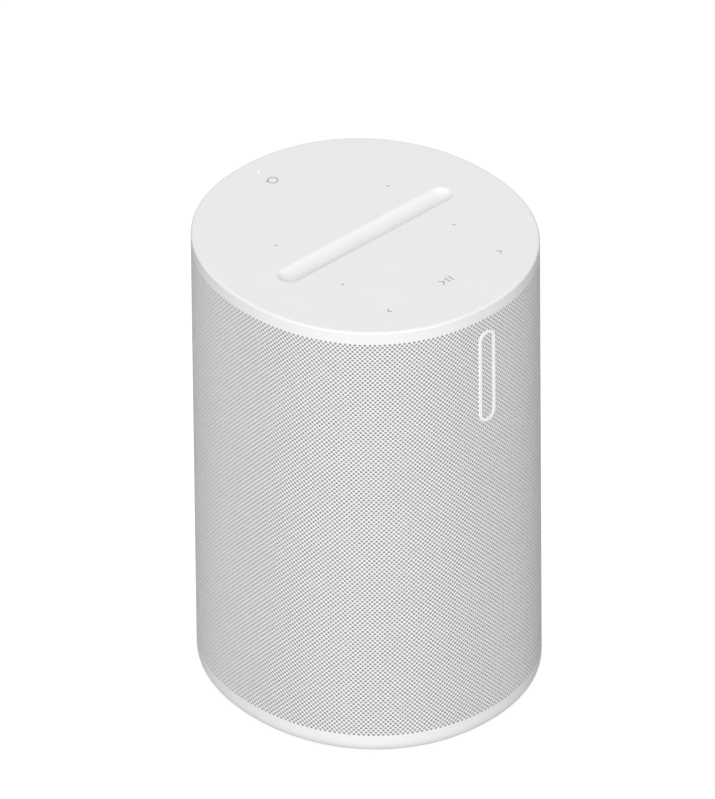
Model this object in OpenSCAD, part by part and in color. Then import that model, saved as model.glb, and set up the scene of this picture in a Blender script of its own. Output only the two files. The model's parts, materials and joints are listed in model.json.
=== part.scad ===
// Free-standing smart speaker: a perforated metal sleeve of nearly oval plan with a flat touch top,
// around a sealed two-half cabinet that holds one woofer and two angled tweeters.
// Origin: centre of the face it stands on. +Z up, the front faces -Y, +X is to the right of the front.

/* [Body] */
// Overall width, along X
body_w = 120; // [119:1:122]
// Overall depth, along Y
body_d = 126.4; // [126:0.2:128]
// Overall height, feet included
body_h = 185; // [184:1:188]
// Power of the plan curve: 2 is an ellipse, more is squarer
plan_power = 2.1; // [2.1:0.05:2.2]
// Number of sides that stand for the plan curve
plan_steps = 72; // [72:8:96]
// Radius of the edge between the top face and the side
edge_r = 0.9; // [0.7:0.1:1.1]
// Radius with which the sleeve rolls under at the bottom
roll_r = 5.4; // [5:0.1:5.8]

/* [Sleeve] */
// Thickness of the sleeve's sheet metal
sheet = 0.8; // [0.7:0.1:0.9]
// Thickness of the cloth behind the perforated sheet
cloth_t = 0.5; // [0.4:0.1:0.6]
// Width of the front badge
badge_w = 8; // [6:1:12]
// Height of the front badge
badge_h = 39; // [30:1:42]

/* [Touch top] */
// Thickness of the touch cover
cover_t = 2.4; // [2.3:0.1:2.6]
// Overall length of the volume trough
trough_l = 83; // [76:1:86]
// Width of the volume trough
trough_w = 8.9; // [8:0.1:9.6]
// Depth of the volume trough
trough_depth = 2; // [1.5:0.1:2.1]
// Half the spacing of the microphone holes along X
mic_x = 27.4; // [26.5:0.1:28.5]
// Half the spacing of the microphone holes along Y
mic_y = 17.3; // [16.5:0.1:18.5]
// Distance of the status light behind the centre
light_y = 56; // [53:0.5:56]

/* [Drivers] */
// Height of the woofer's axis
woofer_z = 76; // [75:1:78]
// Height of the tweeters' axes
tweeter_z = 143; // [142:1:144]
// Angle of each tweeter away from the front
tweeter_turn = 35; // [34:1:38]

/* [Rear panel] */
// Width of the rear panel
panel_w = 54; // [52:1:56]
// Height of the power inlet's centre
inlet_z = 19; // [18:0.5:20]
// Height of the USB-C port's centre
usb_z = 35; // [34:0.5:36]
// Height of the microphone switch's centre
switch_z = 45; // [44:0.5:46]
// Height of the pairing button's centre
button_z = 56; // [55:0.5:57]

/* [Base] */
// Height by which the foot ring holds the body off the table
foot_h = 0.8; // [0.7:0.1:1]
// Spacing of the two threaded inserts for a stand
stand_pitch = 40; // [36:1:44]

/* [Hidden] */
half_w = body_w / 2;
half_d = body_d / 2;
eps = 0.01;
$fn = 48;

// levels of the main horizontal faces
top_z = body_h;
sleeve_top_z = top_z - edge_r;
cover_under_z = top_z - cover_t;
floor_t = 3.2;
floor_top_z = foot_h + floor_t;
base_screw_z = foot_h + 2.2;
box_low_z = 32;
box_high_z = 168;
frame_z = 171;
board_z = 176.6;
board_t = 1.6;

// how far each layer lies inside the plan curve
skirt_inset = sheet + 0.15;
skirt_t = 1.5;
cloth_inset = sheet;
box_inset = 4.5;
box_wall = 2.5;
lip_inset = 7;
base_inset = 7.3;
foot_inset = 4.9;
foot_inner_inset = 14;
tongue_inset = 9;
cloth_low_z = 9.5;
cloth_high_z = 173;

// the badge is a plain loop that stands a little proud of the sleeve
badge_line = 1.3;
badge_proud = 0.25;
badge_top_z = top_z - 10.5;

// the cabinet's flat walls
baffle_y = -40;
baffle_t = 3;
back_y = 36;
seal_t = 1;
box_screw_x = 46;
box_screw_heights = [41, 100, 159];
box_screw_seat_y = 8;
boss_r = 4;
boss_l = 16;
post_x = 38;
post_y = 22;
post_r = 4.5;
post_screw_r = 1.4;

// woofer, measured outwards from the front of the baffle
woofer_r = 42;
woofer_hole_r = 36.2;
woofer_screw_r = 39.6;
woofer_turns = [45 : 90 : 315];
flange_t = 2.5;
gasket_t = 0.8;
cone_r = 28.6;
coil_r = 12.6;
plate_front = -24;
plate_t = 4;
plate_r = 31;
magnet_t = 10;

// tweeters, measured outwards from the mouth of their pods
pod_reach = 50;
pod_r = 22;
tweeter_screw_r = 17.4;
tweeter_turns = [90 : 120 : 330];
tweeter_motor_r = 14.6;
dome_r = 12.5;

// rear panel
panel_low_z = 9.5;
panel_high_z = 64;
panel_corner_r = 6;
panel_t = 2.4;
panel_gap = 0.15;
panel_face_y = half_d;
io_board_y = 51;
inlet_w = 15;
inlet_h = 9;
inlet_depth = 15;
inlet_face_y = panel_face_y - 0.4;
inlet_back_y = inlet_face_y - inlet_depth - 2;
inlet_pin_x = 4.3;
inlet_pin_r = 1.2;
inlet_pins = [[-inlet_pin_x, inlet_z], [inlet_pin_x, inlet_z]];
button_r = 3.5;
button_gap = 0.3;
button_proud = badge_proud;
cap_back_y = panel_face_y - panel_t - 0.35;
key_t = 2.4;
key_tip = 0.6;
slider_w = 4.5;
slider_h = 3.2;
slider_travel = 2.5;
slider_slot_w = slider_w + slider_travel + 0.7;
slider_slot_h = slider_h + 0.7;
usb_w = 9.2;
usb_h = 3.5;

// boards
psu_z = 8;
psu_half_w = 30;
psu_front_y = -38;
psu_rear_y = 50;
psu_screws = [[-26, -34], [26, -34], [-26, 30], [26, 30]];
ribbon_low_z = 154;
main_y = 41;
main_half_w = 36;
main_low_z = 70;
main_high_z = 158;
main_screws = [[-31, 75], [31, 75], [-31, 153], [31, 153]];
lead_z = 112;
lead_hole_r = 3;

// frame under the touch board
frame_t = 2.5;
frame_screw_x = 44;
frame_screw_y = 12;
touch_screw_x = 40;
touch_screw_y = 22;

// threaded inserts for a stand
insert_r = 3.2;
insert_bore_r = 2;
insert_top_z = 6.8;

plastic_white = "whitesmoke";
plastic_black = [0.09, 0.09, 0.1];
metal_white = [0.93, 0.93, 0.93];
steel = [0.7, 0.7, 0.72];
board_green = [0.05, 0.28, 0.14];
chip_black = [0.06, 0.06, 0.06];
wire_red = [0.6, 0.1, 0.1];
wire_blue = [0.1, 0.1, 0.5];

// ---- helpers ----

// Sign of v times |v| to the power p
function signed_power(v, p) = sign(v) * pow(abs(v), p);

// Points of the plan curve, moved in by inset
function plan_points(inset) = [
    for (i = [0 : plan_steps - 1])
        let (t = 360 * i / plan_steps)
        [(half_w - inset) * signed_power(cos(t), 2 / plan_power),
         (half_d - inset) * signed_power(sin(t), 2 / plan_power)]
];

// Points of a w by h rectangle with round corners of radius r, centred
function rounded_points(w, h, r, steps = 8) = [
    for (q = [0 : 3])
        for (i = [0 : steps])
            let (a = 90 * q + 90 * i / steps,
                 cx = (q == 0 || q == 3) ? w / 2 - r : r - w / 2,
                 cy = (q < 2) ? h / 2 - r : r - h / 2)
            [cx + r * cos(a), cy + r * sin(a)]
];

// The four places at plus and minus x and y
function corners(x, y) = [for (i = [-1, 1]) for (j = [-1, 1]) [i * x, j * y]];

// A slab of the plan shape between two heights
module slab(inset, low, high) {
    translate([0, 0, low]) linear_extrude(high - low) polygon(plan_points(inset));
}

// A wall that follows the plan shape
module plan_wall(outer, inner, low, high) {
    difference() {
        slab(outer, low, high);
        slab(inner, low - eps, high + eps);
    }
}

// A box given by its low and high corners
module block(low, high) {
    translate(low) cube(high - low);
}

// The space between two values of Y, over everything else
module y_range(low, high) {
    block([-half_w - 1, low, -1], [half_w + 1, high, top_z + 1]);
}

// A cylinder along +Y, from y to y + length
module rod_y(x, y, z, r, length) {
    translate([x, y, z]) rotate([-90, 0, 0]) cylinder(r = r, h = length);
}

// A cylinder along +Y at each [x, z] place
module rods_y(places, y, r, length) {
    for (p = places) rod_y(p[0], y, p[1], r, length);
}

// Copies at each [x, y] place, raised to z
module at_each(places, z) {
    for (p = places) translate([p[0], p[1], z]) children();
}

// Copies around the local Z axis at radius r, one for each turn
module around(turns, r) {
    for (a = turns) rotate([0, 0, a]) translate([r, 0, 0]) children();
}

// A cap screw that points down from the underside of its head
module screw(head_r, head_h, shank_r, length) {
    difference() {
        cylinder(r = head_r, h = head_h);
        translate([0, 0, head_h * 0.45]) cylinder(r = head_r * 0.5, h = head_h, $fn = 6);
    }
    translate([0, 0, -length]) cylinder(r = shank_r, h = length + eps);
}

// Woofer frame: local +Z points out of the baffle
module at_woofer() {
    translate([0, baffle_y, woofer_z]) rotate([90, 0, 0]) children();
}

// Tweeter frame: side is -1 for left and 1 for right, local +Z points out of the pod
module at_tweeter(side) {
    translate([0, 0, tweeter_z]) rotate([0, 0, side * tweeter_turn]) translate([0, -pod_reach, 0])
        rotate([90, 0, 0]) children();
}

// A wire with eight sides that runs straight from point to point
function unit(v) = v / norm(v);
function lead_dir(p, i) = unit(p[min(i + 1, len(p) - 1)] - p[max(i - 1, 0)]);
function lead_side(d) = unit(cross(d, abs(d[2]) < 0.8 ? [0, 0, 1] : [1, 0, 0]));
function lead_ring(c, d, r) =
    let (u = lead_side(d), v = cross(d, u))
    [for (k = [0 : 7]) c + r * (cos(45 * k) * u + sin(45 * k) * v)];
module lead(p, r) {
    n = len(p);
    points = [for (i = [0 : n - 1]) each lead_ring(p[i], lead_dir(p, i), r)];
    sides = [for (i = [0 : n - 2]) for (k = [0 : 7])
        each [[8 * i + k, 8 * i + (k + 1) % 8, 8 * i + 8 + (k + 1) % 8],
              [8 * i + k, 8 * i + 8 + (k + 1) % 8, 8 * i + 8 + k]]];
    near_cap = [[for (k = [7 : -1 : 0]) k]];
    far_cap = [[for (k = [0 : 7]) 8 * (n - 1) + k]];
    polyhedron(points, concat(sides, near_cap, far_cap), convexity = 6);
}

// Points on a smooth curve from a to d that leaves along b - a and arrives along d - c
function bend(a, b, c, d, steps = 8) = [
    for (i = [0 : steps])
        let (t = i / steps, s = 1 - t)
        s * s * s * a + 3 * s * s * t * b + 3 * s * t * t * c + t * t * t * d
];

// ---- places of holes, screws and posts ----

mic_places = corners(mic_x, mic_y);
touch_screw_places = corners(touch_screw_x, touch_screw_y);
frame_screw_places = corners(frame_screw_x, frame_screw_y);
post_places = corners(post_x, post_y);
insert_places = [[-stand_pitch / 2, 0], [stand_pitch / 2, 0]];
box_screws = [for (x = [-box_screw_x, box_screw_x]) for (z = box_screw_heights) [x, z]];

// ---- touch top ----

// The hollow of the volume trough: a round bar with ball ends
module trough_hollow() {
    half_bar = trough_w / 2;
    bar_r = (half_bar * half_bar + trough_depth * trough_depth) / (2 * trough_depth);
    reach = trough_l / 2 - half_bar;
    translate([0, 0, top_z - trough_depth + bar_r]) {
        translate([-reach, 0, 0]) rotate([0, 90, 0]) cylinder(r = bar_r, h = 2 * reach, $fn = 64);
        for (x = [-reach, reach]) translate([x, 0, 0]) sphere(r = bar_r, $fn = 64);
    }
}

module top_cover() {
    boss_h = cover_under_z - board_z - board_t;
    color(plastic_white) difference() {
        union() {
            // round edge: slabs that step in as they rise
            hull() for (a = [0 : 30 : 90])
                slab(edge_r * (1 - cos(a)), sleeve_top_z,
                     sleeve_top_z + edge_r * sin(a) + eps * (90 - a) / 90);
            slab(skirt_inset, cover_under_z, sleeve_top_z + eps);
            plan_wall(skirt_inset, skirt_inset + skirt_t, frame_z + 3, cover_under_z + eps);
            // thicker floor under the trough
            block([-trough_l / 2 - 3, -trough_w, cover_under_z - 1.4],
                  [trough_l / 2 + 3, trough_w, cover_under_z + eps]);
            at_each(touch_screw_places, board_z + board_t) cylinder(r = 3, h = boss_h + eps);
        }
        trough_hollow();
        at_each(mic_places, cover_under_z - 1) cylinder(r = 0.55, h = cover_t + 2);
        translate([0, light_y, cover_under_z - 1]) cylinder(r = 0.8, h = cover_t + 2);
        at_each(touch_screw_places, board_z) cylinder(r = 1.05, h = 5.5);
    }
}

module touch_foil() {
    color("goldenrod") difference() {
        slab(10, cover_under_z - 0.3, cover_under_z);
        block([-trough_l / 2 - 4, -trough_w - 1, 0], [trough_l / 2 + 4, trough_w + 1, top_z]);
        at_each(concat(mic_places, touch_screw_places), 0) cylinder(r = 3.6, h = top_z);
        translate([0, light_y, 0]) cylinder(r = 4, h = top_z);
    }
}

// Clear pin that carries light from the board's lamp up to the face
module status_light_pipe() {
    low_z = board_z + board_t + 0.9;
    color([0.85, 0.9, 0.95]) {
        translate([0, light_y, cover_under_z - eps]) cylinder(r = 0.75, h = cover_t + eps - 0.05);
        translate([0, light_y - 1, low_z]) cylinder(r = 1.7, h = cover_under_z - low_z);
    }
}

module mic_gaskets() {
    gasket_h = cover_under_z - board_z - board_t;
    color(plastic_black) at_each(mic_places, board_z + board_t) difference() {
        cylinder(r = 2.5, h = gasket_h);
        translate([0, 0, -1]) cylinder(r = 0.8, h = gasket_h + 2);
    }
}

module touch_board() {
    color(board_green) difference() {
        slab(5, board_z, board_z + board_t);
        at_each(touch_screw_places, board_z - 1) cylinder(r = 1.2, h = board_t + 2);
        at_each(mic_places, board_z - 1) cylinder(r = 0.5, h = board_t + 2);
        // slot beside the ribbon's socket
        block([-6, 38, board_z - 1], [6, 42, board_z + board_t + 1]);
    }
}

module touch_board_parts() {
    color(chip_black) {
        // microphones under their sound holes
        at_each(mic_places, board_z - 1.1) translate([-1.9, -1.4, 0]) cube([3.8, 2.8, 1.1]);
        // touch controller and light driver
        block([-5, -20, board_z - 1], [5, -10, board_z]);
        block([10, 28, board_z - 0.9], [16, 34, board_z]);
        // ribbon socket
        block([-8, 32, board_z - 2.2], [8, 37, board_z]);
    }
    color("white") {
        // row of lamps along the trough
        for (i = [-4 : 4]) translate([9 * i - 1.5, -12.6, board_z + board_t]) cube([3, 1.6, 0.8]);
        // lamp under the status light
        translate([-1.2, light_y - 2.2, board_z + board_t]) cube([2.4, 2.4, 0.8]);
    }
}

module touch_board_screws() {
    color(steel) at_each(touch_screw_places, board_z) rotate([180, 0, 0]) screw(2, 1.4, 1, 5.2);
}

// Flat ring on top of the cabinet, with two webs that carry the board
module top_frame() {
    foot_l = frame_z - box_high_z;
    color(plastic_black) difference() {
        union() {
            plan_wall(2.8, 13, frame_z, frame_z + frame_t);
            for (y = [-touch_screw_y, touch_screw_y])
                block([-50, y - 4, frame_z], [50, y + 4, frame_z + frame_t]);
            at_each(touch_screw_places, frame_z) cylinder(r = 3.4, h = 4.2);
            at_each(frame_screw_places, box_high_z) cylinder(r = 4, h = foot_l + frame_t);
        }
        at_each(frame_screw_places, box_high_z - 1) cylinder(r = 1.7, h = foot_l + frame_t + 2);
        at_each(touch_screw_places, frame_z - 1) cylinder(r = 2.3, h = 8);
    }
}

module top_frame_screws() {
    color(steel) at_each(frame_screw_places, frame_z + frame_t) screw(2.8, 1.6, 1.5, 9.4);
}

module wifi_antennas() {
    color(board_green) for (x = [-30, 30])
        block([x - 9, -44, frame_z + frame_t], [x + 9, -39, frame_z + frame_t + 1]);
}

// ---- sleeve ----

// The outside of the sleeve, moved in by inset: a straight wall over a rolled bottom edge
module sleeve_form(inset, high) {
    r = roll_r - inset;
    low = foot_h + inset;
    hull() {
        slab(inset, low + r, high);
        for (a = [15 : 15 : 90])
            slab(inset + r * (1 - cos(a)), low + r * (1 - sin(a)), low + r);
    }
}

// The rear panel's outline, pushed through the rear of the sleeve
module panel_prism(gap) {
    w = panel_w + 2 * gap;
    h = panel_high_z - panel_low_z + 2 * gap;
    translate([0, half_d + 1, (panel_low_z + panel_high_z) / 2]) rotate([90, 0, 0])
        linear_extrude(22) polygon(rounded_points(w, h, panel_corner_r));
}

module grille_sleeve() {
    color(metal_white) difference() {
        sleeve_form(0, sleeve_top_z);
        difference() {
            sleeve_form(sheet, top_z);
            slab(0, foot_h + sheet - 1, foot_h + sheet);
        }
        slab(lip_inset, 0, foot_h + 2);
        panel_prism(panel_gap);
    }
}

module grille_cloth() {
    color([0.55, 0.55, 0.56]) difference() {
        plan_wall(cloth_inset, cloth_inset + cloth_t, cloth_low_z, cloth_high_z);
        panel_prism(2);
    }
}

// Plain upright loop on the front
module front_badge() {
    inner_w = badge_w - 2 * badge_line;
    inner_h = badge_h - 2 * badge_line;
    color("white") intersection() {
        plan_wall(-badge_proud, 0, 0, top_z);
        translate([0, -half_d + 4, badge_top_z - badge_h / 2]) rotate([90, 0, 0])
            linear_extrude(8) difference() {
                polygon(rounded_points(badge_w, badge_h, badge_w / 2 - eps));
                polygon(rounded_points(inner_w, inner_h, inner_w / 2 - eps));
            }
    }
}

// ---- cabinet ----

// Outer and inner forms of the cabinet
module box_outer() {
    intersection() {
        slab(box_inset, box_low_z, box_high_z);
        y_range(baffle_y, back_y);
    }
}
module box_inner() {
    intersection() {
        slab(box_inset + box_wall, box_low_z + box_wall, box_high_z - box_wall);
        y_range(baffle_y + baffle_t, back_y - box_wall);
    }
}

module pods(r, from, to) {
    for (side = [-1, 1]) at_tweeter(side)
        translate([0, 0, from - pod_reach]) cylinder(r = r, h = to - from);
}

module cabinet_front() {
    color(plastic_black) difference() {
        union() {
            difference() {
                intersection() {
                    box_outer();
                    y_range(baffle_y, -seal_t / 2);
                }
                box_inner();
            }
            pods(pod_r, 32, pod_reach);
            intersection() {
                box_outer();
                for (side = [-1, 1]) for (z = box_screw_heights) {
                    rod_y(side * box_screw_x, -boss_l, z, boss_r, boss_l - seal_t / 2);
                    // rib that ties the boss to the side wall
                    translate([side * (box_screw_x + boss_r) - boss_r, -boss_l, z - 2.5])
                        cube([2 * boss_r, boss_l - seal_t / 2, 5]);
                }
            }
            for (x = [-post_x, post_x]) translate([x, -post_y, box_low_z]) cylinder(r = post_r, h = 12);
        }
        // hollow of the pods and room for the horns in front of them
        pods(pod_r - box_wall, 24, pod_reach - box_wall);
        pods(pod_r + 0.3, pod_reach, pod_reach + 12);
        // driver openings and screw holes
        at_woofer() {
            translate([0, 0, -baffle_t - 1]) {
                cylinder(r = woofer_hole_r, h = baffle_t + 2, $fn = 96);
                around(woofer_turns, woofer_screw_r) cylinder(r = 1.2, h = baffle_t + 2);
            }
        }
        for (side = [-1, 1]) at_tweeter(side) translate([0, 0, -8]) {
            cylinder(r = tweeter_motor_r + 0.4, h = 10);
            around(tweeter_turns, tweeter_screw_r) cylinder(r = 0.85, h = 10);
        }
        rods_y(box_screws, 2 - boss_l, 1.3, boss_l);
        at_each(post_places, box_low_z - 1) cylinder(r = post_screw_r, h = 11);
        at_each(frame_screw_places, box_high_z - box_wall - 1) cylinder(r = 1.5, h = box_wall + 2);
    }
}

module cabinet_rear() {
    color(plastic_black) difference() {
        union() {
            difference() {
                intersection() {
                    box_outer();
                    y_range(seal_t / 2, back_y);
                }
                box_inner();
            }
            intersection() {
                rods_y(box_screws, seal_t / 2, 4.6, back_y);
                box_outer();
            }
            for (x = [-post_x, post_x]) translate([x, post_y, box_low_z]) cylinder(r = post_r, h = 12);
            rods_y(main_screws, back_y - box_wall, 3.4, main_y - back_y + box_wall);
        }
        rods_y(box_screws, -1, 1.6, 12);
        rods_y(box_screws, box_screw_seat_y, 3.2, 40);
        at_each(post_places, box_low_z - 1) cylinder(r = post_screw_r, h = 11);
        rods_y(main_screws, back_y - 1, 1.2, 8);
        at_each(frame_screw_places, box_high_z - box_wall - 1) cylinder(r = 1.5, h = box_wall + 2);
        // way out for the leads
        rod_y(0, back_y - 5, lead_z, lead_hole_r, 10);
    }
}

module cabinet_seal() {
    color([0.15, 0.15, 0.15]) intersection() {
        difference() {
            box_outer();
            box_inner();
        }
        y_range(-seal_t / 2, seal_t / 2);
    }
}

module cabinet_screws() {
    color(steel) for (p = box_screws)
        translate([p[0], box_screw_seat_y, p[1]]) rotate([-90, 0, 0]) screw(2.8, 2, 1.25, 20);
}

module damping_foam() {
    color([0.35, 0.35, 0.37]) difference() {
        block([-34, back_y - box_wall - 11, 56], [34, back_y - box_wall, 150]);
        rod_y(0, 0, lead_z, 9, back_y);
    }
}

// ---- woofer ----

// Flange, conical wall and seat for the magnet, as one turned profile of [radius, height]
module woofer_basket() {
    front = gasket_t + flange_t;
    shoulder = gasket_t - 1;
    seat_z = plate_front + 2;
    color([0.16, 0.16, 0.17]) at_woofer() difference() {
        rotate_extrude($fn = 96) polygon([
            [31, front], [31, shoulder], [34, shoulder], [22, seat_z], [14.5, seat_z], [14.5, plate_front],
            [plate_r, plate_front], [plate_r, seat_z], [25.5, seat_z], [36, shoulder], [36, gasket_t],
            [woofer_r, gasket_t], [woofer_r, front]
        ]);
        around(woofer_turns, woofer_screw_r) translate([0, 0, -1]) cylinder(r = 1.5, h = 8);
        // six windows between the arms
        around([0 : 60 : 300], 18) translate([0, -9, -20.5]) cube([16, 18, 14]);
    }
}

module woofer_gasket() {
    color(plastic_black) at_woofer() difference() {
        cylinder(r = woofer_r, h = gasket_t, $fn = 96);
        translate([0, 0, -1]) cylinder(r = woofer_hole_r + 0.3, h = gasket_t + 2, $fn = 96);
        around(woofer_turns, woofer_screw_r) translate([0, 0, -1]) cylinder(r = 1.5, h = 4);
    }
}

// Half roll of rubber between the basket's rim and the cone
module woofer_surround() {
    front = gasket_t + flange_t;
    mid = 33;
    half = 3.4;
    skin = 0.7;
    inner_edge = cone_r + 0.3;
    color([0.05, 0.05, 0.05]) at_woofer() rotate_extrude($fn = 96) union() {
        intersection() {
            translate([mid, front]) difference() {
                circle(r = half, $fn = 40);
                circle(r = half - skin, $fn = 40);
            }
            translate([mid - half, front]) square([2 * half, half]);
        }
        translate([mid + half - skin, front]) square([1.5, skin]);
        translate([inner_edge, front]) square([mid - half + skin - inner_edge, skin]);
    }
}

module woofer_cone() {
    front = gasket_t + flange_t;
    color([0.12, 0.12, 0.13]) at_woofer() rotate_extrude($fn = 96) polygon([
        [cone_r, front + 0.7], [coil_r + 0.6, -12], [coil_r + 0.6, -12.8], [cone_r, front - 0.1]
    ]);
}

module woofer_dust_cap() {
    cap_r = 18;
    cap_edge = 15.5;
    edge_z = -9.4;
    drop = sqrt(cap_r * cap_r - cap_edge * cap_edge);
    color([0.08, 0.08, 0.09]) at_woofer() intersection() {
        translate([0, 0, edge_z - drop]) difference() {
            sphere(r = cap_r, $fn = 64);
            sphere(r = cap_r - 0.6, $fn = 64);
        }
        translate([0, 0, edge_z]) cylinder(r = cap_edge + 2, h = 20);
    }
}

module woofer_voice_coil() {
    former_low = -32;
    winding_low = former_low + 1;
    color([0.72, 0.42, 0.2]) at_woofer() difference() {
        union() {
            translate([0, 0, former_low]) cylinder(r = coil_r + 0.3, h = 19.6, $fn = 64);
            translate([0, 0, winding_low]) cylinder(r = coil_r + 0.7, h = 8, $fn = 64);
        }
        translate([0, 0, former_low - 1]) cylinder(r = coil_r, h = 30, $fn = 64);
    }
}

// Corrugated cloth ring that centres the coil
module woofer_spider() {
    inner = coil_r + 0.6;
    outer = 23.2;
    waves = 4;
    steps = 32;
    function wave(r) = -19.4 + 0.8 * sin(360 * waves * (r - inner) / (outer - inner));
    color([0.8, 0.6, 0.25]) at_woofer() rotate_extrude($fn = 64) polygon(concat(
        [for (i = [0 : steps]) let (r = inner + (outer - inner) * i / steps) [r, wave(r) + 0.25]],
        [for (i = [steps : -1 : 0]) let (r = inner + (outer - inner) * i / steps) [r, wave(r) - 0.25]]
    ));
}

module woofer_top_plate() {
    color(steel) at_woofer() difference() {
        translate([0, 0, plate_front - plate_t]) cylinder(r = plate_r, h = plate_t, $fn = 96);
        translate([0, 0, plate_front - plate_t - 1]) cylinder(r = coil_r + 1.1, h = plate_t + 2, $fn = 96);
    }
}

module woofer_magnet() {
    color([0.2, 0.2, 0.22]) at_woofer() translate([0, 0, plate_front - plate_t - magnet_t]) difference() {
        cylinder(r = plate_r + 2, h = magnet_t, $fn = 96);
        translate([0, 0, -1]) cylinder(r = 17, h = magnet_t + 2, $fn = 96);
    }
}

module woofer_pole_plate() {
    pole_h = magnet_t + plate_t;
    color(steel) at_woofer() translate([0, 0, plate_front - pole_h]) {
        translate([0, 0, -plate_t]) cylinder(r = plate_r, h = plate_t, $fn = 96);
        translate([0, 0, -eps]) cylinder(r = coil_r - 0.5, h = pole_h, $fn = 96);
    }
}

module woofer_screws() {
    color(steel) at_woofer() around(woofer_turns, woofer_screw_r)
        translate([0, 0, gasket_t + flange_t]) screw(2.3, 1.5, 1.15, 9);
}

// ---- tweeters ----

module tweeter_horn(side) {
    color(plastic_black) at_tweeter(side) difference() {
        rotate_extrude($fn = 72) polygon([
            [dome_r + 0.4, 0], [pod_r - 0.2, 0], [pod_r - 0.2, 3], [18, 3], [14.6, 1.6]
        ]);
        around(tweeter_turns, tweeter_screw_r) translate([0, 0, -1]) cylinder(r = 1.1, h = 6);
    }
}

module tweeter_dome(side) {
    ball_r = 14;
    edge = dome_r - 0.5;
    drop = sqrt(ball_r * ball_r - edge * edge);
    color([0.25, 0.25, 0.27]) at_tweeter(side) {
        intersection() {
            translate([0, 0, -drop]) difference() {
                sphere(r = ball_r, $fn = 64);
                sphere(r = ball_r - 0.5, $fn = 64);
            }
            translate([0, 0, -0.3]) cylinder(r = dome_r, h = 10);
        }
        difference() {
            translate([0, 0, -0.6]) cylinder(r = tweeter_motor_r, h = 0.6);
            translate([0, 0, -1]) cylinder(r = 10.8, h = 2);
        }
    }
}

module tweeter_motor(side) {
    color([0.3, 0.3, 0.32]) at_tweeter(side) difference() {
        translate([0, 0, -15]) cylinder(r = tweeter_motor_r, h = 14.4);
        translate([0, 0, -3]) cylinder(r = 10.8, h = 4);
    }
}

module tweeter_screws() {
    color(steel) for (side = [-1, 1]) at_tweeter(side)
        around(tweeter_turns, tweeter_screw_r) translate([0, 0, 3]) screw(1.7, 1, 0.8, 7);
}

module tweeter_horn_left() { tweeter_horn(-1); }
module tweeter_horn_right() { tweeter_horn(1); }
module tweeter_dome_left() { tweeter_dome(-1); }
module tweeter_dome_right() { tweeter_dome(1); }
module tweeter_motor_left() { tweeter_motor(-1); }
module tweeter_motor_right() { tweeter_motor(1); }

// ---- electronics ----

module main_board() {
    color(board_green) difference() {
        block([-main_half_w, main_y, main_low_z], [main_half_w, main_y + board_t, main_high_z]);
        rods_y(main_screws, main_y - 1, 1.4, board_t + 2);
        rod_y(0, main_y - 1, lead_z, lead_hole_r, board_t + 2);
    }
}

module main_board_parts() {
    face = main_y + board_t;
    color(chip_black) {
        // amplifier coils
        for (i = [0 : 3]) block([-24 + 9 * i, face, 84], [-17 + 9 * i, face + 5, 91]);
        // memory and power chips
        block([10, face, 84], [18, face + 1, 96]);
        block([22, face, 96], [30, face + 1, 104]);
        // lead and ribbon sockets
        block([-8, face, 100], [8, face + 5, 106]);
        block([-8, face, ribbon_low_z - 5], [8, face + 3, ribbon_low_z]);
    }
    color([0.75, 0.75, 0.78]) for (i = [0 : 3]) rod_y(-22 + 8 * i, face, 77, 3, 7);
}

module shield_cans() {
    face = main_y + board_t;
    color(steel) {
        block([-28, face, 112], [-6, face + 2.4, 134]);
        block([-28, face, 137], [-12, face + 2.4, 148]);
    }
}

module heat_sink() {
    face = main_y + board_t;
    color("silver") {
        block([6, face, 110], [30, face + 2, 146]);
        for (x = [6 : 3.8 : 29]) block([x, face + 2 - eps, 110], [x + 1.2, face + 9, 146]);
    }
}

module main_board_screws() {
    color(steel) for (p = main_screws)
        translate([p[0], main_y + board_t, p[1]]) rotate([-90, 0, 0]) screw(2.3, 1.5, 1.1, 7);
}

module power_supply_board() {
    color(board_green) difference() {
        block([-psu_half_w, psu_front_y, psu_z], [psu_half_w, psu_rear_y, psu_z + board_t]);
        at_each(psu_screws, psu_z - 1) cylinder(r = 1.6, h = board_t + 2);
    }
}

module power_supply_parts() {
    face = psu_z + board_t;
    // transformer: core and winding
    color([0.85, 0.75, 0.2]) block([-13, -10, face], [13, 12, face + 17]);
    color(chip_black) {
        block([-16, -5, face], [-13, 7, face + 15]);
        block([13, -5, face], [16, 7, face + 15]);
        // line filter, fuse holder, switching chip
        block([-25, 14, face], [-12, 26, face + 13]);
        block([14, 18, face], [22, 24, face + 8]);
        block([18, -26, face], [26, -22, face + 12]);
    }
    // smoothing capacitors
    color([0.12, 0.14, 0.3]) {
        translate([-22, -22, face]) cylinder(r = 6, h = 20);
        for (x = [-7, 4]) translate([x, -24, face]) cylinder(r = 4, h = 15);
    }
}

module power_supply_screws() {
    color(steel) at_each(psu_screws, psu_z + board_t) screw(2.8, 1.6, 1.4, 5.4);
}

// The place on a tweeter's axis at this distance from the cabinet's middle
function tweeter_axis(side, reach) =
    [side * reach * sin(tweeter_turn), -reach * cos(tweeter_turn), tweeter_z];

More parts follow.
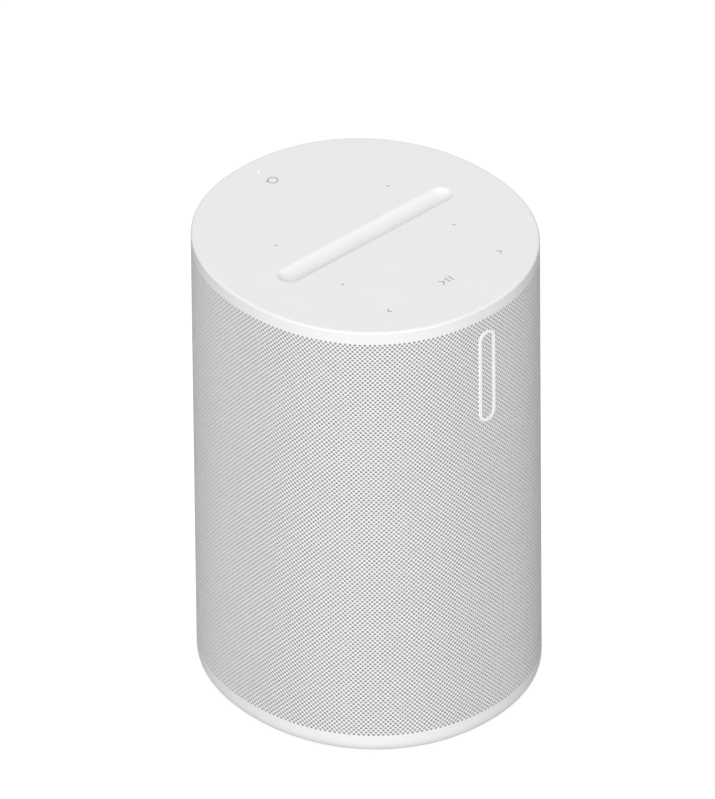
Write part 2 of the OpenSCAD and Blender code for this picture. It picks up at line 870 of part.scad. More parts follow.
// Four leads that run through one hole in the cabinet's back to a socket on the main board
module driver_leads() {
    socket_top = lead_z - 5.8;
    woofer_top = woofer_z + 29;
    tweeter_back = pod_reach - 15.2;
    for (s = [-1, 1]) {
        color(wire_red) lead(concat(
            bend([s * 1.6 + 6, -24, woofer_top], [s * 1.6 + 6, -24, woofer_top + 12],
                 [s * 1.2, -4, lead_z + 7], [s * 1.2, 14, lead_z + 0.8]),
            bend([s * 1.2, 38, lead_z + 0.8], [s * 1.2, 47, lead_z + 0.8],
                 [s * 4.5, 46.5, lead_z], [s * 4.5, 45.6, socket_top])), 0.7);
        color(wire_blue) lead(concat(
            bend(tweeter_axis(s, tweeter_back), tweeter_axis(s, tweeter_back - 6),
                 [s * 10, 0, lead_z + 4], [s * 1.3, 14, lead_z - 1.2]),
            bend([s * 1.3, 38, lead_z - 1.2], [s * 1.3, 44.5, lead_z - 1.2],
                 [s * 1.3, 44.2, lead_z - 3], [s * 1.3, 44.2, socket_top])), 0.6);
    }
}

// Flat flexible cable from the touch board down to the main board
module touch_ribbon() {
    high = board_z - 2.2;
    skin = 0.3;
    rear = 46.5;
    color([0.9, 0.7, 0.3]) translate([-5, 0, 0]) rotate([90, 0, 90]) linear_extrude(10) polygon([
        [34, high], [34, high - skin], [rear - skin, high - skin], [rear - skin, ribbon_low_z],
        [rear, ribbon_low_z], [rear, high]
    ]);
}

// ---- rear panel ----

// A round-cornered w by h prism that runs inwards from y, with its middle at height z
module prism_y(y, z, length, w, h, r) {
    translate([0, y, z]) rotate([90, 0, 0]) linear_extrude(length) polygon(rounded_points(w, h, r));
}

module rear_panel() {
    color(plastic_white) difference() {
        intersection() {
            plan_wall(0, panel_t, 0, top_z);
            panel_prism(0);
        }
        prism_y(half_d + 2, inlet_z, 12, inlet_w + 3.3, inlet_h + 3.3, 5);
        prism_y(half_d + 2, usb_z, 12, usb_w + 0.6, usb_h + 0.6, 1.9);
        prism_y(half_d + 2, switch_z, 12, slider_slot_w, slider_slot_h, 1);
        rod_y(0, half_d - 10, button_z, button_r + button_gap, 12);
    }
}

// Figure-8 socket: its nose fills the panel's opening, its body sits on the power supply board
module power_inlet() {
    color(chip_black) difference() {
        union() {
            prism_y(inlet_face_y, inlet_z, inlet_face_y - inlet_back_y, inlet_w + 3, inlet_h + 3, 4.8);
            block([-10.5, inlet_back_y, psu_z + board_t], [10.5, inlet_face_y - 3.2, inlet_z + 6.5]);
        }
        prism_y(inlet_face_y + 1, inlet_z, inlet_depth + 1, inlet_w, inlet_h, inlet_h / 2 - eps);
        rods_y(inlet_pins, inlet_back_y - 1, inlet_pin_r, 4);
    }
}

module power_inlet_pins() {
    color("silver") rods_y(inlet_pins, inlet_back_y - 1.5, inlet_pin_r, 11.5);
}

module io_board() {
    color(board_green) block([-18, io_board_y, 29], [18, io_board_y + board_t, 61]);
}

module usb_c_port() {
    front = panel_face_y - 0.6;
    face = io_board_y + board_t;
    color("silver") translate([0, front, usb_z]) rotate([90, 0, 0]) difference() {
        linear_extrude(front - face) polygon(rounded_points(usb_w, usb_h, 1.6));
        translate([0, 0, -1]) linear_extrude(8) polygon(rounded_points(usb_w - 0.7, usb_h - 0.7, 1.25));
    }
    color(chip_black) block([-3.3, front - 7.2, usb_z - 0.35], [3.3, front - 1, usb_z + 0.35]);
}

module button_key_switch() {
    face = io_board_y + board_t;
    color(chip_black) block([-3, face, button_z - 3], [3, face + key_t, button_z + 3]);
    color("silver") rod_y(0, face + key_t - eps, button_z, 1.6, key_tip);
}

module mic_switch_housing() {
    face = io_board_y + board_t;
    color("silver") difference() {
        block([-6, face, switch_z - 3], [6, face + 4, switch_z + 3]);
        block([-4.6, face + 1.2, switch_z - 1.9], [4.6, face + 5, switch_z + 1.9]);
    }
}

module pairing_button() {
    tip = io_board_y + board_t + key_t + key_tip + 0.9;
    color(plastic_white) {
        rod_y(0, tip, button_z, 1.5, cap_back_y - tip);
        rod_y(0, cap_back_y - 1, button_z, button_r + 1, 1);
        rod_y(0, cap_back_y - eps, button_z, button_r, panel_face_y + button_proud - cap_back_y);
    }
}

// Grooved knob and its stem, at the end of their travel where X is lowest
module mic_switch_slider() {
    stem_low_y = io_board_y + board_t + 1.6;
    knob_face_y = panel_face_y - 0.3;
    low_x = -(slider_travel + slider_w) / 2;
    high_x = low_x + slider_w;
    groove_w = 0.5;
    groove_depth = 0.35;
    groove_pitch = 1.1;
    middle_x = (low_x + high_x - groove_w) / 2;
    color(plastic_white) {
        difference() {
            block([low_x, cap_back_y, switch_z - slider_h / 2],
                  [high_x, knob_face_y, switch_z + slider_h / 2]);
            for (i = [-1 : 1]) translate([middle_x + groove_pitch * i, knob_face_y - groove_depth, 0])
                cube([groove_w, 2 * groove_depth, top_z]);
        }
        block([low_x + 0.8, stem_low_y, switch_z - 1.4], [high_x - 0.8, cap_back_y + eps, switch_z + 1.4]);
    }
}

// ---- base ----

module base_cover() {
    color(plastic_white) difference() {
        union() {
            slab(base_inset, foot_h, floor_top_z);
            plan_wall(base_inset, base_inset + 2, floor_top_z - eps, floor_top_z + 3.5);
            translate([0, 0, floor_top_z - eps]) {
                at_each(post_places, 0) cylinder(r = post_r, h = box_low_z - floor_top_z + eps);
                at_each(psu_screws, 0) cylinder(r = 3.2, h = psu_z - floor_top_z + eps);
                at_each(insert_places, 0) cylinder(r = 5.5, h = psu_z - 0.6 - floor_top_z);
            }
        }
        at_each(post_places, 0) {
            cylinder(r = 1.8, h = box_low_z + 1);
            cylinder(r = 3.4, h = base_screw_z);
        }
        at_each(psu_screws, floor_top_z - 1.4) cylinder(r = 1.45, h = 8);
        at_each(insert_places, 0) cylinder(r = insert_r, h = insert_top_z);
        // groove for the foot ring's tongue
        plan_wall(tongue_inset, tongue_inset + 3, 0, foot_h + 1.2);
        // room for the rear panel and the inlet
        block([-panel_w / 2 - 1, half_d - 12, floor_top_z], [panel_w / 2 + 1, half_d, 40]);
    }
}

module stand_inserts() {
    insert_l = insert_top_z - foot_h;
    color([0.8, 0.65, 0.3]) at_each(insert_places, foot_h) difference() {
        cylinder(r = insert_r, h = insert_l);
        translate([0, 0, -1]) cylinder(r = insert_bore_r, h = insert_l + 2);
    }
}

module base_screws() {
    color(steel) at_each(post_places, base_screw_z) rotate([180, 0, 0]) screw(3, 1.8, 1.35, 37);
}

module foot_ring() {
    color([0.25, 0.25, 0.26]) {
        plan_wall(foot_inset, foot_inner_inset, 0, foot_h);
        // tongue that sits in the base's groove
        plan_wall(tongue_inset + 0.05, tongue_inset + 2.95, foot_h - eps, foot_h + 1.15);
    }
}

top_cover();
touch_foil();
status_light_pipe();
mic_gaskets();
touch_board();
touch_board_parts();
touch_board_screws();
top_frame();
top_frame_screws();
wifi_antennas();
grille_sleeve();
grille_cloth();
front_badge();
cabinet_front();
cabinet_rear();
cabinet_seal();
cabinet_screws();
damping_foam();
woofer_basket();
woofer_gasket();
woofer_surround();
woofer_cone();
woofer_dust_cap();
woofer_voice_coil();
woofer_spider();
woofer_top_plate();
woofer_magnet();
woofer_pole_plate();
woofer_screws();
tweeter_horn_left();
tweeter_horn_right();
tweeter_dome_left();
tweeter_dome_right();
tweeter_motor_left();
tweeter_motor_right();
tweeter_screws();
main_board();
main_board_parts();
shield_cans();
heat_sink();
main_board_screws();
power_supply_board();
power_supply_parts();
power_supply_screws();
rear_panel();
power_inlet();
power_inlet_pins();
io_board();
usb_c_port();
button_key_switch();
mic_switch_housing();
pairing_button();
mic_switch_slider();
driver_leads();
touch_ribbon();
base_cover();
stand_inserts();
base_screws();
foot_ring();
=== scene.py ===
"""The looks of a free-standing smart speaker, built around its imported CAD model.

Lengths are in millimetres and angles in degrees, unless a name or a comment says otherwise; MM turns
millimetres into Blender's metres. The frame is the CAD model's: the speaker stands on the plane z = 0,
its front faces -Y, and +X is to the right of a person who looks at the front.
"""
import json
import math

import bmesh
import bpy
import numpy as np
from mathutils import Matrix, Vector
from mathutils.geometry import delaunay_2d_cdt


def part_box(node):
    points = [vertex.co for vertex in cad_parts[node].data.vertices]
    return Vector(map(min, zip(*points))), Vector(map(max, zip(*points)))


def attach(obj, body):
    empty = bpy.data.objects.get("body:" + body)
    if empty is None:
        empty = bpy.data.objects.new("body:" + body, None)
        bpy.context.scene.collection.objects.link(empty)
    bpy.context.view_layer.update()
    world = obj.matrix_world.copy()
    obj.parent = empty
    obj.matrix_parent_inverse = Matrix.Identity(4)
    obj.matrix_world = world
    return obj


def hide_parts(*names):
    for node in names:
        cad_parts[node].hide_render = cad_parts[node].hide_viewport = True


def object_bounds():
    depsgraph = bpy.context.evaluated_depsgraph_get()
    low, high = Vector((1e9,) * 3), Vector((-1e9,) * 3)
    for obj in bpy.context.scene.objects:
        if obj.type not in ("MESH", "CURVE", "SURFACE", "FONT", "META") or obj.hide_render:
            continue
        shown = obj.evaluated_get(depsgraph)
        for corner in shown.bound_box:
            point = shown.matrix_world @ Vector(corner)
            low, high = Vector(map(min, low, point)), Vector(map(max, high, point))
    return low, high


MM = 0.001
FLAT_MARGIN = 0.4         # flat strip beside a rounded edge, as a share of its radius, which keeps faces flat
WELD = 1e-4 * MM          # points nearer than this are one point

# ---- sizes of the outside that the frame's boxes don't say ----
PLAN_POWER = 2.1          # the plan is a superellipse of this power
SHEET = 0.5               # thickness of the sleeve's sheet metal
TOP_EDGE_R = 0.9          # round edge between the top face and the side
ROLL_R = 5.4              # radius with which the sleeve rolls under
ROLL_LIP = 7.0            # how far in the rolled edge reaches under the body
PLAIN_TOP = 4.5           # plain height between the top face and the first holes
PLAIN_BOTTOM = 2.7        # plain height between the roll and the lowest holes

# ---- perforation ----
HOLE_PITCH = 1.785        # spacing of the holes along a row
ROW_PITCH = 0.942         # height from one row to the next; every second row is shifted by half a pitch
HOLE_R = 0.51
HOLE_SIDES = 8
SLEEVE_PANELS = 10        # the sleeve's mesh is split into this many upright strips
PATCH_MARGIN = 3.0        # how far the patch around the rear panel reaches past its opening
PLAIN_BORDER = 0.55       # least plain width between a hole and the rear opening

# ---- touch top ----
COVER_T = 2.4
TROUGH_L = 83.0
TROUGH_W = 8.9
TROUGH_DEPTH = 2.0
TROUGH_LIP = 0.5          # width of the rounding where the trough meets the top face
SKIRT_GAP = 0.15          # play between the cover's skirt and the sleeve
MIC_X = 27.4
MIC_Y = 17.3
MIC_R = 0.55
MARK_LINE = 0.55          # line width of the printed touch marks
MARK_T = 0.02             # thickness of the print
MARK_Y = -41.3            # the marks for the previous title, play and pause, and the next title
SKIP_X = 27.5
TALK_Y = 48.5             # the speech bubble, towards the back
LIGHT_Y = 56.0
LIGHT_R = 0.8

# ---- front badge ----
BADGE_LINE = 1.3
BADGE_EDGE = 0.12
BADGE_ROOT = 0.3          # how far the badge's pins reach into the sleeve

# ---- rear panel ----
PANEL_GAP = 0.15
PANEL_CORNER_R = 6.0
PANEL_SIDE_STEPS = 24     # pieces of each straight side, so that it follows the curved wall
PORT_SIDE_STEPS = 8
PANEL_T = 2.4
PANEL_EDGE = 0.35
INLET_OPENING = (18.3, 12.3, 5.0)   # width, height, corner radius
INLET_CENTRE_Z = 19.0
USB_CLEARANCE = 0.3
SLOT_CLEARANCE = 0.35
SLOT_CORNER_R = 1.0
BUTTON_R = 3.5
BUTTON_GAP = 0.3
BUTTON_EDGE = 0.4
BUTTON_DISH = 0.15        # how deep the cap's face is dished
BUTTON_STEM_R = 1.5
BUTTON_FLANGE_R = 4.5
BUTTON_FLANGE_T = 1.0
BUTTON_FLANGE_GAP = 0.35  # play between the flange and the panel's inner face

# ---- foot ring ----
FOOT_INSET = 4.9
FOOT_WIDTH = 9.1
FOOT_EDGE = 0.35

# ---- cloth behind the holes ----
CLOTH_GAP = 0.06
CLOTH_T = 0.4
CLOTH_MARGIN = 1.2        # how far the cloth stays away from the rear opening
CLOTH_OVERLAP = 1.0       # how far it reaches past the first and last rows of holes
CLOTH_GRID = 3.0

# ---- the photographed view ----
VIEW_AZIMUTH = -42.98
VIEW_ELEVATION = 34.48
VIEW_ROLL = 0.56
VIEW_DISTANCE = 8000.0
VIEW_LENS = 1000.1        # focal length on a sensor 36 mm wide
VIEW_ASIDE = -3.35        # how far right of the object's middle the camera aims
VIEW_ABOVE = 17.21        # how far above the object's middle the camera aims

# ---- room ----
FLOOR_GLOW = 0.76
ROOM_LIGHT = 0.45
LAMP_AIM = 0.09           # height in metres that the lamps aim at


# ---------------------------------------------------------------- frame

def box_mm(node):
    """Lowest and highest corner of a CAD node, in millimetres."""
    low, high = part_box(node)
    return np.array(low) / MM, np.array(high) / MM


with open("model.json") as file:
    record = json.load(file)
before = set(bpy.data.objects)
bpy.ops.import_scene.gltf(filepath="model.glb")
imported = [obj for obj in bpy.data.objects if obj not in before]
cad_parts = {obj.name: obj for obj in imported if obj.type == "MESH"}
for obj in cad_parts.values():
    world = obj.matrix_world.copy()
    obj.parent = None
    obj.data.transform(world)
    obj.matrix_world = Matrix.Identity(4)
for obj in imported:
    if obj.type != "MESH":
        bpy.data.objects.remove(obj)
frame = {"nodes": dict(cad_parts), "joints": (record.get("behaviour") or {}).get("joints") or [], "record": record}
CAD_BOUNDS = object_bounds()
RECORD = frame["record"]
SLEEVE_LOW, SLEEVE_HIGH = box_mm("grille_sleeve")
TOP_Z = box_mm("top_cover")[1][2]
SLEEVE_TOP_Z = TOP_Z - TOP_EDGE_R
FOOT_Z = SLEEVE_LOW[2]


# ---------------------------------------------------------------- the plan curve

def signed_power(value, power):
    return np.sign(value) * np.abs(value) ** power


class Plan:
    """The superellipse that the speaker's plan follows.

    A place on it is its distance along the outside, counted from the middle of the back towards -X,
    so that distance and height are right and up for a person who looks at the wall from outside.
    """

    def __init__(self, half_w, half_d, power, samples=14400):
        self.half_w = half_w
        self.half_d = half_d
        self.power = power
        self.turn = np.linspace(math.pi / 2, math.pi * 5 / 2, samples + 1)
        x, y = self.curve(self.turn, 0)
        steps = np.hypot(np.diff(x), np.diff(y))
        self.distance = np.concatenate([[0], np.cumsum(steps)])
        self.length = self.distance[-1]
        self.x = x

    def curve(self, turn, inset):
        x = (self.half_w - inset) * signed_power(np.cos(turn), 2 / self.power)
        y = (self.half_d - inset) * signed_power(np.sin(turn), 2 / self.power)
        return x, y

    def point(self, distance, height, inset):
        """Points of the wall, moved in by inset."""
        turn = np.interp(np.mod(distance, self.length), self.distance, self.turn)
        x, y = self.curve(turn, inset)
        return np.stack(np.broadcast_arrays(x, y, height), axis=-1)

    def back(self, x):
        """Distance along the back wall of the place with this x."""
        quarter = len(self.turn) // 4
        return np.interp(-np.abs(x), self.x[:quarter][::-1], self.distance[:quarter][::-1]) * -np.sign(x)

    def front(self, x):
        """Distance along the front wall of the place with this x."""
        return self.length / 2 - self.back(x)


PLAN = Plan(SLEEVE_HIGH[0], SLEEVE_HIGH[1], PLAN_POWER)


def on_back(points, inset):
    """Maps points given by x and z to the back wall."""
    return PLAN.point(PLAN.back(points[:, 0]), points[:, 1], inset)


def on_front(points, inset):
    """Maps points given by x and z to the front wall."""
    return PLAN.point(PLAN.front(points[:, 0]), points[:, 1], inset)


def on_top(points, depth):
    """Maps points given by x and y to the touch cover's face, moved down by depth; print stands on it."""
    return np.column_stack([points, np.full(len(points), TOP_Z - MARK_T) - depth])


# ---------------------------------------------------------------- flat outlines

class Stadium:
    """A rectangle with round corners, or a circle or a round-ended slot when the radius allows no more.

    side_steps cuts each straight side, so that a long side follows a curved wall.
    """

    def __init__(self, centre, width, height, radius, steps=8, side_steps=1):
        self.centre = np.array(centre, float)
        self.width = width
        self.height = height
        self.radius = min(radius, width / 2, height / 2)
        self.steps = steps
        self.side_steps = side_steps

    def points(self, grow=0.0):
        radius = self.radius + grow
        half_x = self.width / 2 + grow - radius
        half_y = self.height / 2 + grow - radius
        corners = [(half_x, half_y), (-half_x, half_y), (-half_x, -half_y), (half_x, -half_y)]
        angles = math.pi / 2 * np.arange(self.steps + 1) / self.steps
        arcs = []
        for quarter, corner in enumerate(corners):
            turn = angles + math.pi / 2 * quarter
            arcs.append(corner + radius * np.column_stack([np.cos(turn), np.sin(turn)]))
        share = np.arange(1, self.side_steps)[:, None] / self.side_steps
        rows = []
        for quarter, arc in enumerate(arcs):
            start, end = arc[-1], arcs[(quarter + 1) % len(arcs)][0]
            rows += [arc, start + (end - start) * share]
        return np.concatenate(rows) + self.centre

    def outside(self, points):
        """Signed distance of points from the outline, positive outside it."""
        inner = np.array([self.width, self.height]) / 2 - self.radius
        away = np.abs(points - self.centre) - inner
        return np.hypot(*np.maximum(away, 0).T) + np.minimum(away.max(axis=1), 0) - self.radius


def circle(centre, radius, steps=8):
    return Stadium(centre, 2 * radius, 2 * radius, radius, steps)


class PlanOutline:
    """The plan curve as a flat outline."""

    def __init__(self, inset, count=220):
        self.inset = inset
        self.place = PLAN.length * np.arange(count) / count

    def points(self, grow=0.0):
        return PLAN.point(self.place, 0.0, self.inset - grow)[:, :2]

    def outside(self, points):
        """Rough distance of points from the outline, positive outside it."""
        half_w = PLAN.half_w - self.inset
        half_d = PLAN.half_d - self.inset
        level = np.abs(points[:, 0] / half_w) ** PLAN.power + np.abs(points[:, 1] / half_d) ** PLAN.power
        return (level ** (1 / PLAN.power) - 1) * min(half_w, half_d)


class Polygon:
    """A flat outline given by its corners, for thin print that has no rounded edge."""

    def __init__(self, corners):
        self.corners = np.array(corners, float)

    def points(self, grow=0.0):
        return self.corners


# ---------------------------------------------------------------- meshes

def new_object(name, points, faces, sharp=40):
    """A mesh object from points in millimetres and a list of faces, smooth up to the sharp angle."""
    mesh = bpy.data.meshes.new(name)
    corners = np.concatenate([np.asarray(f).ravel() for f in faces])
    sizes = np.concatenate([np.full(len(f), np.asarray(f).shape[1]) for f in faces])
    mesh.vertices.add(len(points))
    mesh.vertices.foreach_set("co", (np.asarray(points) * MM).astype(np.float32).ravel())
    mesh.loops.add(len(corners))
    mesh.loops.foreach_set("vertex_index", corners.astype(np.int32))
    mesh.polygons.add(len(sizes))
    mesh.polygons.foreach_set("loop_start", np.concatenate([[0], np.cumsum(sizes)[:-1]]).astype(np.int32))
    mesh.update(calc_edges=True)
    mesh.polygons.foreach_set("use_smooth", np.ones(len(sizes), bool))
    mesh.set_sharp_from_angle(angle=math.radians(sharp))
    piece = bpy.data.objects.new(name, mesh)
    bpy.context.scene.collection.objects.link(piece)
    return piece


class Build:
    """Collects points and faces of one solid, then welds them into an object."""

    def __init__(self):
        self.points = []
        self.triangles = []
        self.quads = []
        self.count = 0

    def add_points(self, points):
        first = self.count
        self.points.append(np.asarray(points, float))
        self.count += len(points)
        return first

    def strip(self, rings, closed=False):
        """Quads between rings that have the same number of points; closed joins the last to the first."""
        firsts = [self.add_points(ring) for ring in rings]
        size = len(rings[0])
        here = np.arange(size)
        there = (here + 1) % size
        pairs = list(zip(firsts, firsts[1:]))
        if closed:
            pairs.append((firsts[-1], firsts[0]))
        for a, b in pairs:
            self.quads.append(np.column_stack([a + here, b + here, b + there, a + there]))

    def face(self, points, triangles, flip=False):
        first = self.add_points(points)
        self.triangles.append(first + (triangles[:, ::-1] if flip else triangles))

    def finish(self, name, sharp=35):
        faces = []
        if self.triangles:
            faces.append(np.concatenate(self.triangles))
        if self.quads:
            faces.append(np.concatenate(self.quads))
        piece = new_object(name, np.concatenate(self.points), faces)
        shape = bmesh.new()
        shape.from_mesh(piece.data)
        bmesh.ops.remove_doubles(shape, verts=shape.verts, dist=WELD)
        bmesh.ops.dissolve_degenerate(shape, edges=shape.edges, dist=WELD)
        bmesh.ops.recalc_face_normals(shape, faces=shape.faces)
        shape.to_mesh(piece.data)
        shape.free()
        piece.data.set_sharp_from_angle(angle=math.radians(sharp))
        return piece


def loop_edges(count, first=0):
    return [(first + i, first + (i + 1) % count) for i in range(count)]


def triangulate(points, edges, keep):
    """Triangles over flat points that hold the given edges; keep picks them by their middles."""
    flat, _, faces, _, _, _ = delaunay_2d_cdt([Vector(p) for p in points], edges, [], 0, 1e-7)
    flat = np.array([tuple(p) for p in flat])
    triangles = np.array(faces)
    a, b, c = (flat[triangles[:, k]] for k in range(3))
    turned = (b[:, 0] - a[:, 0]) * (c[:, 1] - a[:, 1]) < (b[:, 1] - a[:, 1]) * (c[:, 0] - a[:, 0])
    triangles[turned] = triangles[turned][:, ::-1]
    return flat, triangles[keep((a + b + c) / 3)]


def grid_inside(outline, holes, spacing):
    """Grid points inside an outline and clear of its holes, so that a face can follow a curved wall."""
    edge = outline.points()
    low, high = edge.min(axis=0), edge.max(axis=0)
    x = np.arange(low[0], high[0], spacing)
    y = np.arange(low[1], high[1], spacing)
    points = np.stack(np.meshgrid(x, y), axis=-1).reshape(-1, 2)
    clear = outline.outside(points) < -spacing / 3
    for hole in holes:
        clear &= hole.outside(points) > spacing / 3
    return points[clear]


def round_edge(radius, depth, steps=4):
    """Profile of a plate's edge: (width into the plate, depth) pairs, from the face to the far side."""
    if radius == 0:
        return [(0.0, 0.0), (0.0, depth)]
    arc = [math.pi / 2 * k / steps for k in range(steps + 1)]
    rows = [(radius * (1 - math.sin(a)), radius * (1 - math.cos(a))) for a in arc]
    return [(radius * (1 + FLAT_MARGIN), 0.0)] + rows + [(0.0, depth)]


def add_plate(build, surface, outline, depth, edge, holes=(), dishes=(), spacing=None, hole_edge=None,
              rim=None):
    """Adds a closed plate that follows a surface.

    surface maps flat points and a depth to space. holes go right through. A dish is an outline with its
    own profile, and it ends in a floor. spacing adds grid points, for a surface that is curved. rim is
    the profile of the outline where it isn't just a rounded edge.
    """
    hole_edge = edge if hole_edge is None else hole_edge
    rims = [(outline, -1, rim or round_edge(edge, depth))]
    rims += [(hole, 1, round_edge(hole_edge, depth)) for hole in holes]
    hollows = [(dish, 1, profile) for dish, profile in dishes]

    def add_cover(loops, inner, place_depth, flip):
        points = list(loops)
        edges = []
        for k, loop in enumerate(loops):
            edges += loop_edges(len(loop), sum(len(p) for p in loops[:k]))
        if spacing:
            points.append(grid_inside(outline, inner, spacing))

        def keep(middles):
            kept = inside_loop(middles, loops[0])
            for loop in loops[1:]:
                kept &= ~inside_loop(middles, loop)
            return kept

        flat, triangles = triangulate(np.concatenate(points), edges, keep)
        build.face(surface(flat, place_depth), triangles, flip)

    front = [shape.points(sign * profile[0][0]) for shape, sign, profile in rims + hollows]
    add_cover(front, list(holes) + [dish for dish, _ in dishes], 0.0, False)
    back = [shape.points(sign * profile[-1][0]) for shape, sign, profile in rims]
    add_cover(back, list(holes), depth, True)
    for shape, sign, profile in rims + hollows:
        build.strip([surface(shape.points(sign * width), level) for width, level in profile])
    for dish, profile in dishes:
        floor = dish.points(profile[-1][0])
        flat, triangles = triangulate(floor, loop_edges(len(floor)),
                                      lambda middles: inside_loop(middles, floor))
        build.face(surface(flat, profile[-1][1]), triangles)


def plate(name, *shape, **details):
    build = Build()
    add_plate(build, *shape, **details)
    return build.finish(name)


def inside_loop(points, loop):
    """True for each point inside a closed polygon, by counting crossings."""
    x, y = points[:, 0:1], points[:, 1:2]
    x0, y0 = loop[:, 0], loop[:, 1]
    x1, y1 = np.roll(x0, -1), np.roll(y0, -1)
    crosses = (y0 > y) != (y1 > y)
    rise = np.where(y1 == y0, 1.0, y1 - y0)
    left = x < x0 + (y - y0) * (x1 - x0) / rise
    return (crosses & left).sum(axis=1) % 2 == 1


def ring_solid(name, profile, count, sharp=35):
    """A closed ring that follows the plan curve; profile is a closed list of (inset, height) pairs."""
    place = PLAN.length * np.arange(count) / count
    build = Build()
    build.strip([PLAN.point(place, height, inset) for inset, height in profile], closed=True)
    return build.finish(name, sharp)


# ---------------------------------------------------------------- the perforated sleeve

class Lattice:
    """The staggered holes, unrolled. Columns are half a pitch apart; a hole sits where column + row is odd.

    Each hole has a cell with four corners: one column to each side of it, one row above and one below.
    """

    def __init__(self):
        self.low = FOOT_Z + ROLL_R + PLAIN_BOTTOM
        high = TOP_Z - PLAIN_TOP
        self.rows = 2 * round((high - self.low) / ROW_PITCH / 2)
        self.step_z = (high - self.low) / self.rows
        self.columns = 2 * SLEEVE_PANELS * round(PLAN.length / HOLE_PITCH / SLEEVE_PANELS)
        self.step_u = PLAN.length / self.columns
        self.high = high
        turn = 2 * math.pi * np.arange(HOLE_SIDES) / HOLE_SIDES
        self.rim = HOLE_R * np.column_stack([np.cos(turn), np.sin(turn)])

    def place(self, cells):
        """Distance and height of lattice places."""
        return cells * (self.step_u, self.step_z) + (0, self.low)

    def cell_of(self, points):
        """The cell that each point lies in."""
        column, row = ((points - (0, self.low)) / (self.step_u, self.step_z)).T
        rising = 2 * np.floor((column + row) / 2) + 1
        falling = 2 * np.floor((column - row) / 2) + 1
        return np.column_stack([(rising + falling) / 2, (rising - falling) / 2]).round().astype(int)

    def holed(self, cells):
        """Triangles of cells with a hole, as flat corner points."""
        middle = self.place(cells)
        reach = np.array([[1, 0], [0, 1], [-1, 0], [0, -1]])
        corner = [self.place(cells + step) for step in reach]
        rim = [middle + point for point in self.rim]
        rows = []
        for side in range(4):
            a, b = corner[side], corner[(side + 1) % 4]
            start, mid, end = rim[2 * side], rim[2 * side + 1], rim[(2 * side + 2) % HOLE_SIDES]
            rows += [(a, b, mid), (a, mid, start), (b, end, mid)]
        return np.concatenate([np.stack(row, axis=1) for row in rows])

    def half_cells(self, columns, row, up):
        """Plain triangles that fill the notches along the lowest or the highest row."""
        side = 1 if up else -1
        here = np.column_stack([columns, np.full(len(columns), row)])
        left, right, tip = (self.place(here + step) for step in ([-side, 0], [side, 0], [0, side]))
        return np.stack([left, right, tip], axis=1)


LATTICE = Lattice()


def rear_opening(grow=0.0):
    """The rear panel's outline, larger by grow, by distance along the wall and height."""
    low, high = box_mm("rear_panel")
    outline = Stadium(((low[0] + high[0]) / 2, (low[2] + high[2]) / 2),
                      high[0] - low[0], high[2] - low[2], PANEL_CORNER_R, side_steps=PANEL_SIDE_STEPS)
    points = outline.points(grow)
    return outline, np.column_stack([PLAN.back(points[:, 0]), points[:, 1]])


def sheet_solid(name, flat, triangles, outer, inner):
    """A sheet with two faces and walls along every free edge, from flat triangles."""
    count = len(flat)
    starts = triangles.ravel()
    ends = np.roll(triangles, -1, axis=1).ravel()
    free = ~np.isin(starts.astype(np.int64) * count + ends, ends.astype(np.int64) * count + starts)
    a, b = starts[free], ends[free]
    walls = np.column_stack([b, a, a + count, b + count])
    points = np.concatenate([PLAN.point(flat[:, 0], flat[:, 1], inset) for inset in (outer, inner)])
    piece = new_object(name, points, [triangles, triangles[:, ::-1] + count, walls], sharp=50)
    # Walls take the second material slot; on the sleeve pieces that slot holds the painted shade of the hole
    # walls.
    wall_shade_slot = np.repeat([0, 1], [2 * len(triangles), len(walls)])
    piece.data.polygons.foreach_set("material_index", wall_shade_slot.astype(np.int32))
    add_wall_map(piece, np.concatenate([flat, flat]))
    return piece


def add_wall_map(piece, flat):
    """A map by distance along the wall and height, ready for a bake."""
    layer = piece.data.uv_layers.new(name="OFBake")
    low, high = flat.min(axis=0), flat.max(axis=0)
    corners = np.zeros(len(piece.data.loops), np.int32)
    piece.data.loops.foreach_get("vertex_index", corners)
    spread = (flat - low) / (high - low).max() * 0.98 + 0.01
    layer.data.foreach_set("uv", spread[corners].astype(np.float32).ravel())


def weld(corners):
    """Turns triangles given by their corner points into shared points and indices."""
    points = corners.reshape(-1, 2)
    fine = np.round(points / 1e-3).astype(np.int64)
    keys = fine[:, 0] * 10 ** 7 + fine[:, 1]
    _, first, index = np.unique(keys, return_index=True, return_inverse=True)
    return points[first], index.reshape(-1, 3)


def sleeve_panels():
    """The perforated wall, in upright strips, without the patch around the rear panel."""
    patch_columns, patch_rows = patch_reach()
    width = LATTICE.columns // SLEEVE_PANELS
    pieces = []
    for number in range(SLEEVE_PANELS):
        column, row = np.meshgrid(np.arange(number * width, (number + 1) * width), np.arange(1, LATTICE.rows))
        cells = np.column_stack([column.ravel(), row.ravel()])
        cells = cells[cells.sum(axis=1) % 2 == 1]
        cells = cells[~in_patch(cells, patch_columns, patch_rows)]
        ends = np.arange(number * width + 1, (number + 1) * width, 2)
        low_ends = ends[~in_patch(np.column_stack([ends, 0 * ends]), patch_columns, patch_rows)]
        corners = np.concatenate([
            LATTICE.holed(cells),
            LATTICE.half_cells(low_ends, 0, True),
            LATTICE.half_cells(ends, LATTICE.rows, False)])
        flat, triangles = weld(corners)
        pieces.append(sheet_solid(f"sleeve_wall_{number + 1:02d}", flat, triangles, 0.0, SHEET))
    return pieces


def patch_reach():
    """Columns to each side of the back's middle, and rows from the lowest, that the patch takes."""
    outline, _ = rear_opening()
    reach = PLAN.back(-outline.width / 2 - PATCH_MARGIN)
    top = outline.centre[1] + outline.height / 2 + PATCH_MARGIN
    return 2 * round(reach / LATTICE.step_u / 2), 2 * round((top - LATTICE.low) / LATTICE.step_z / 2)


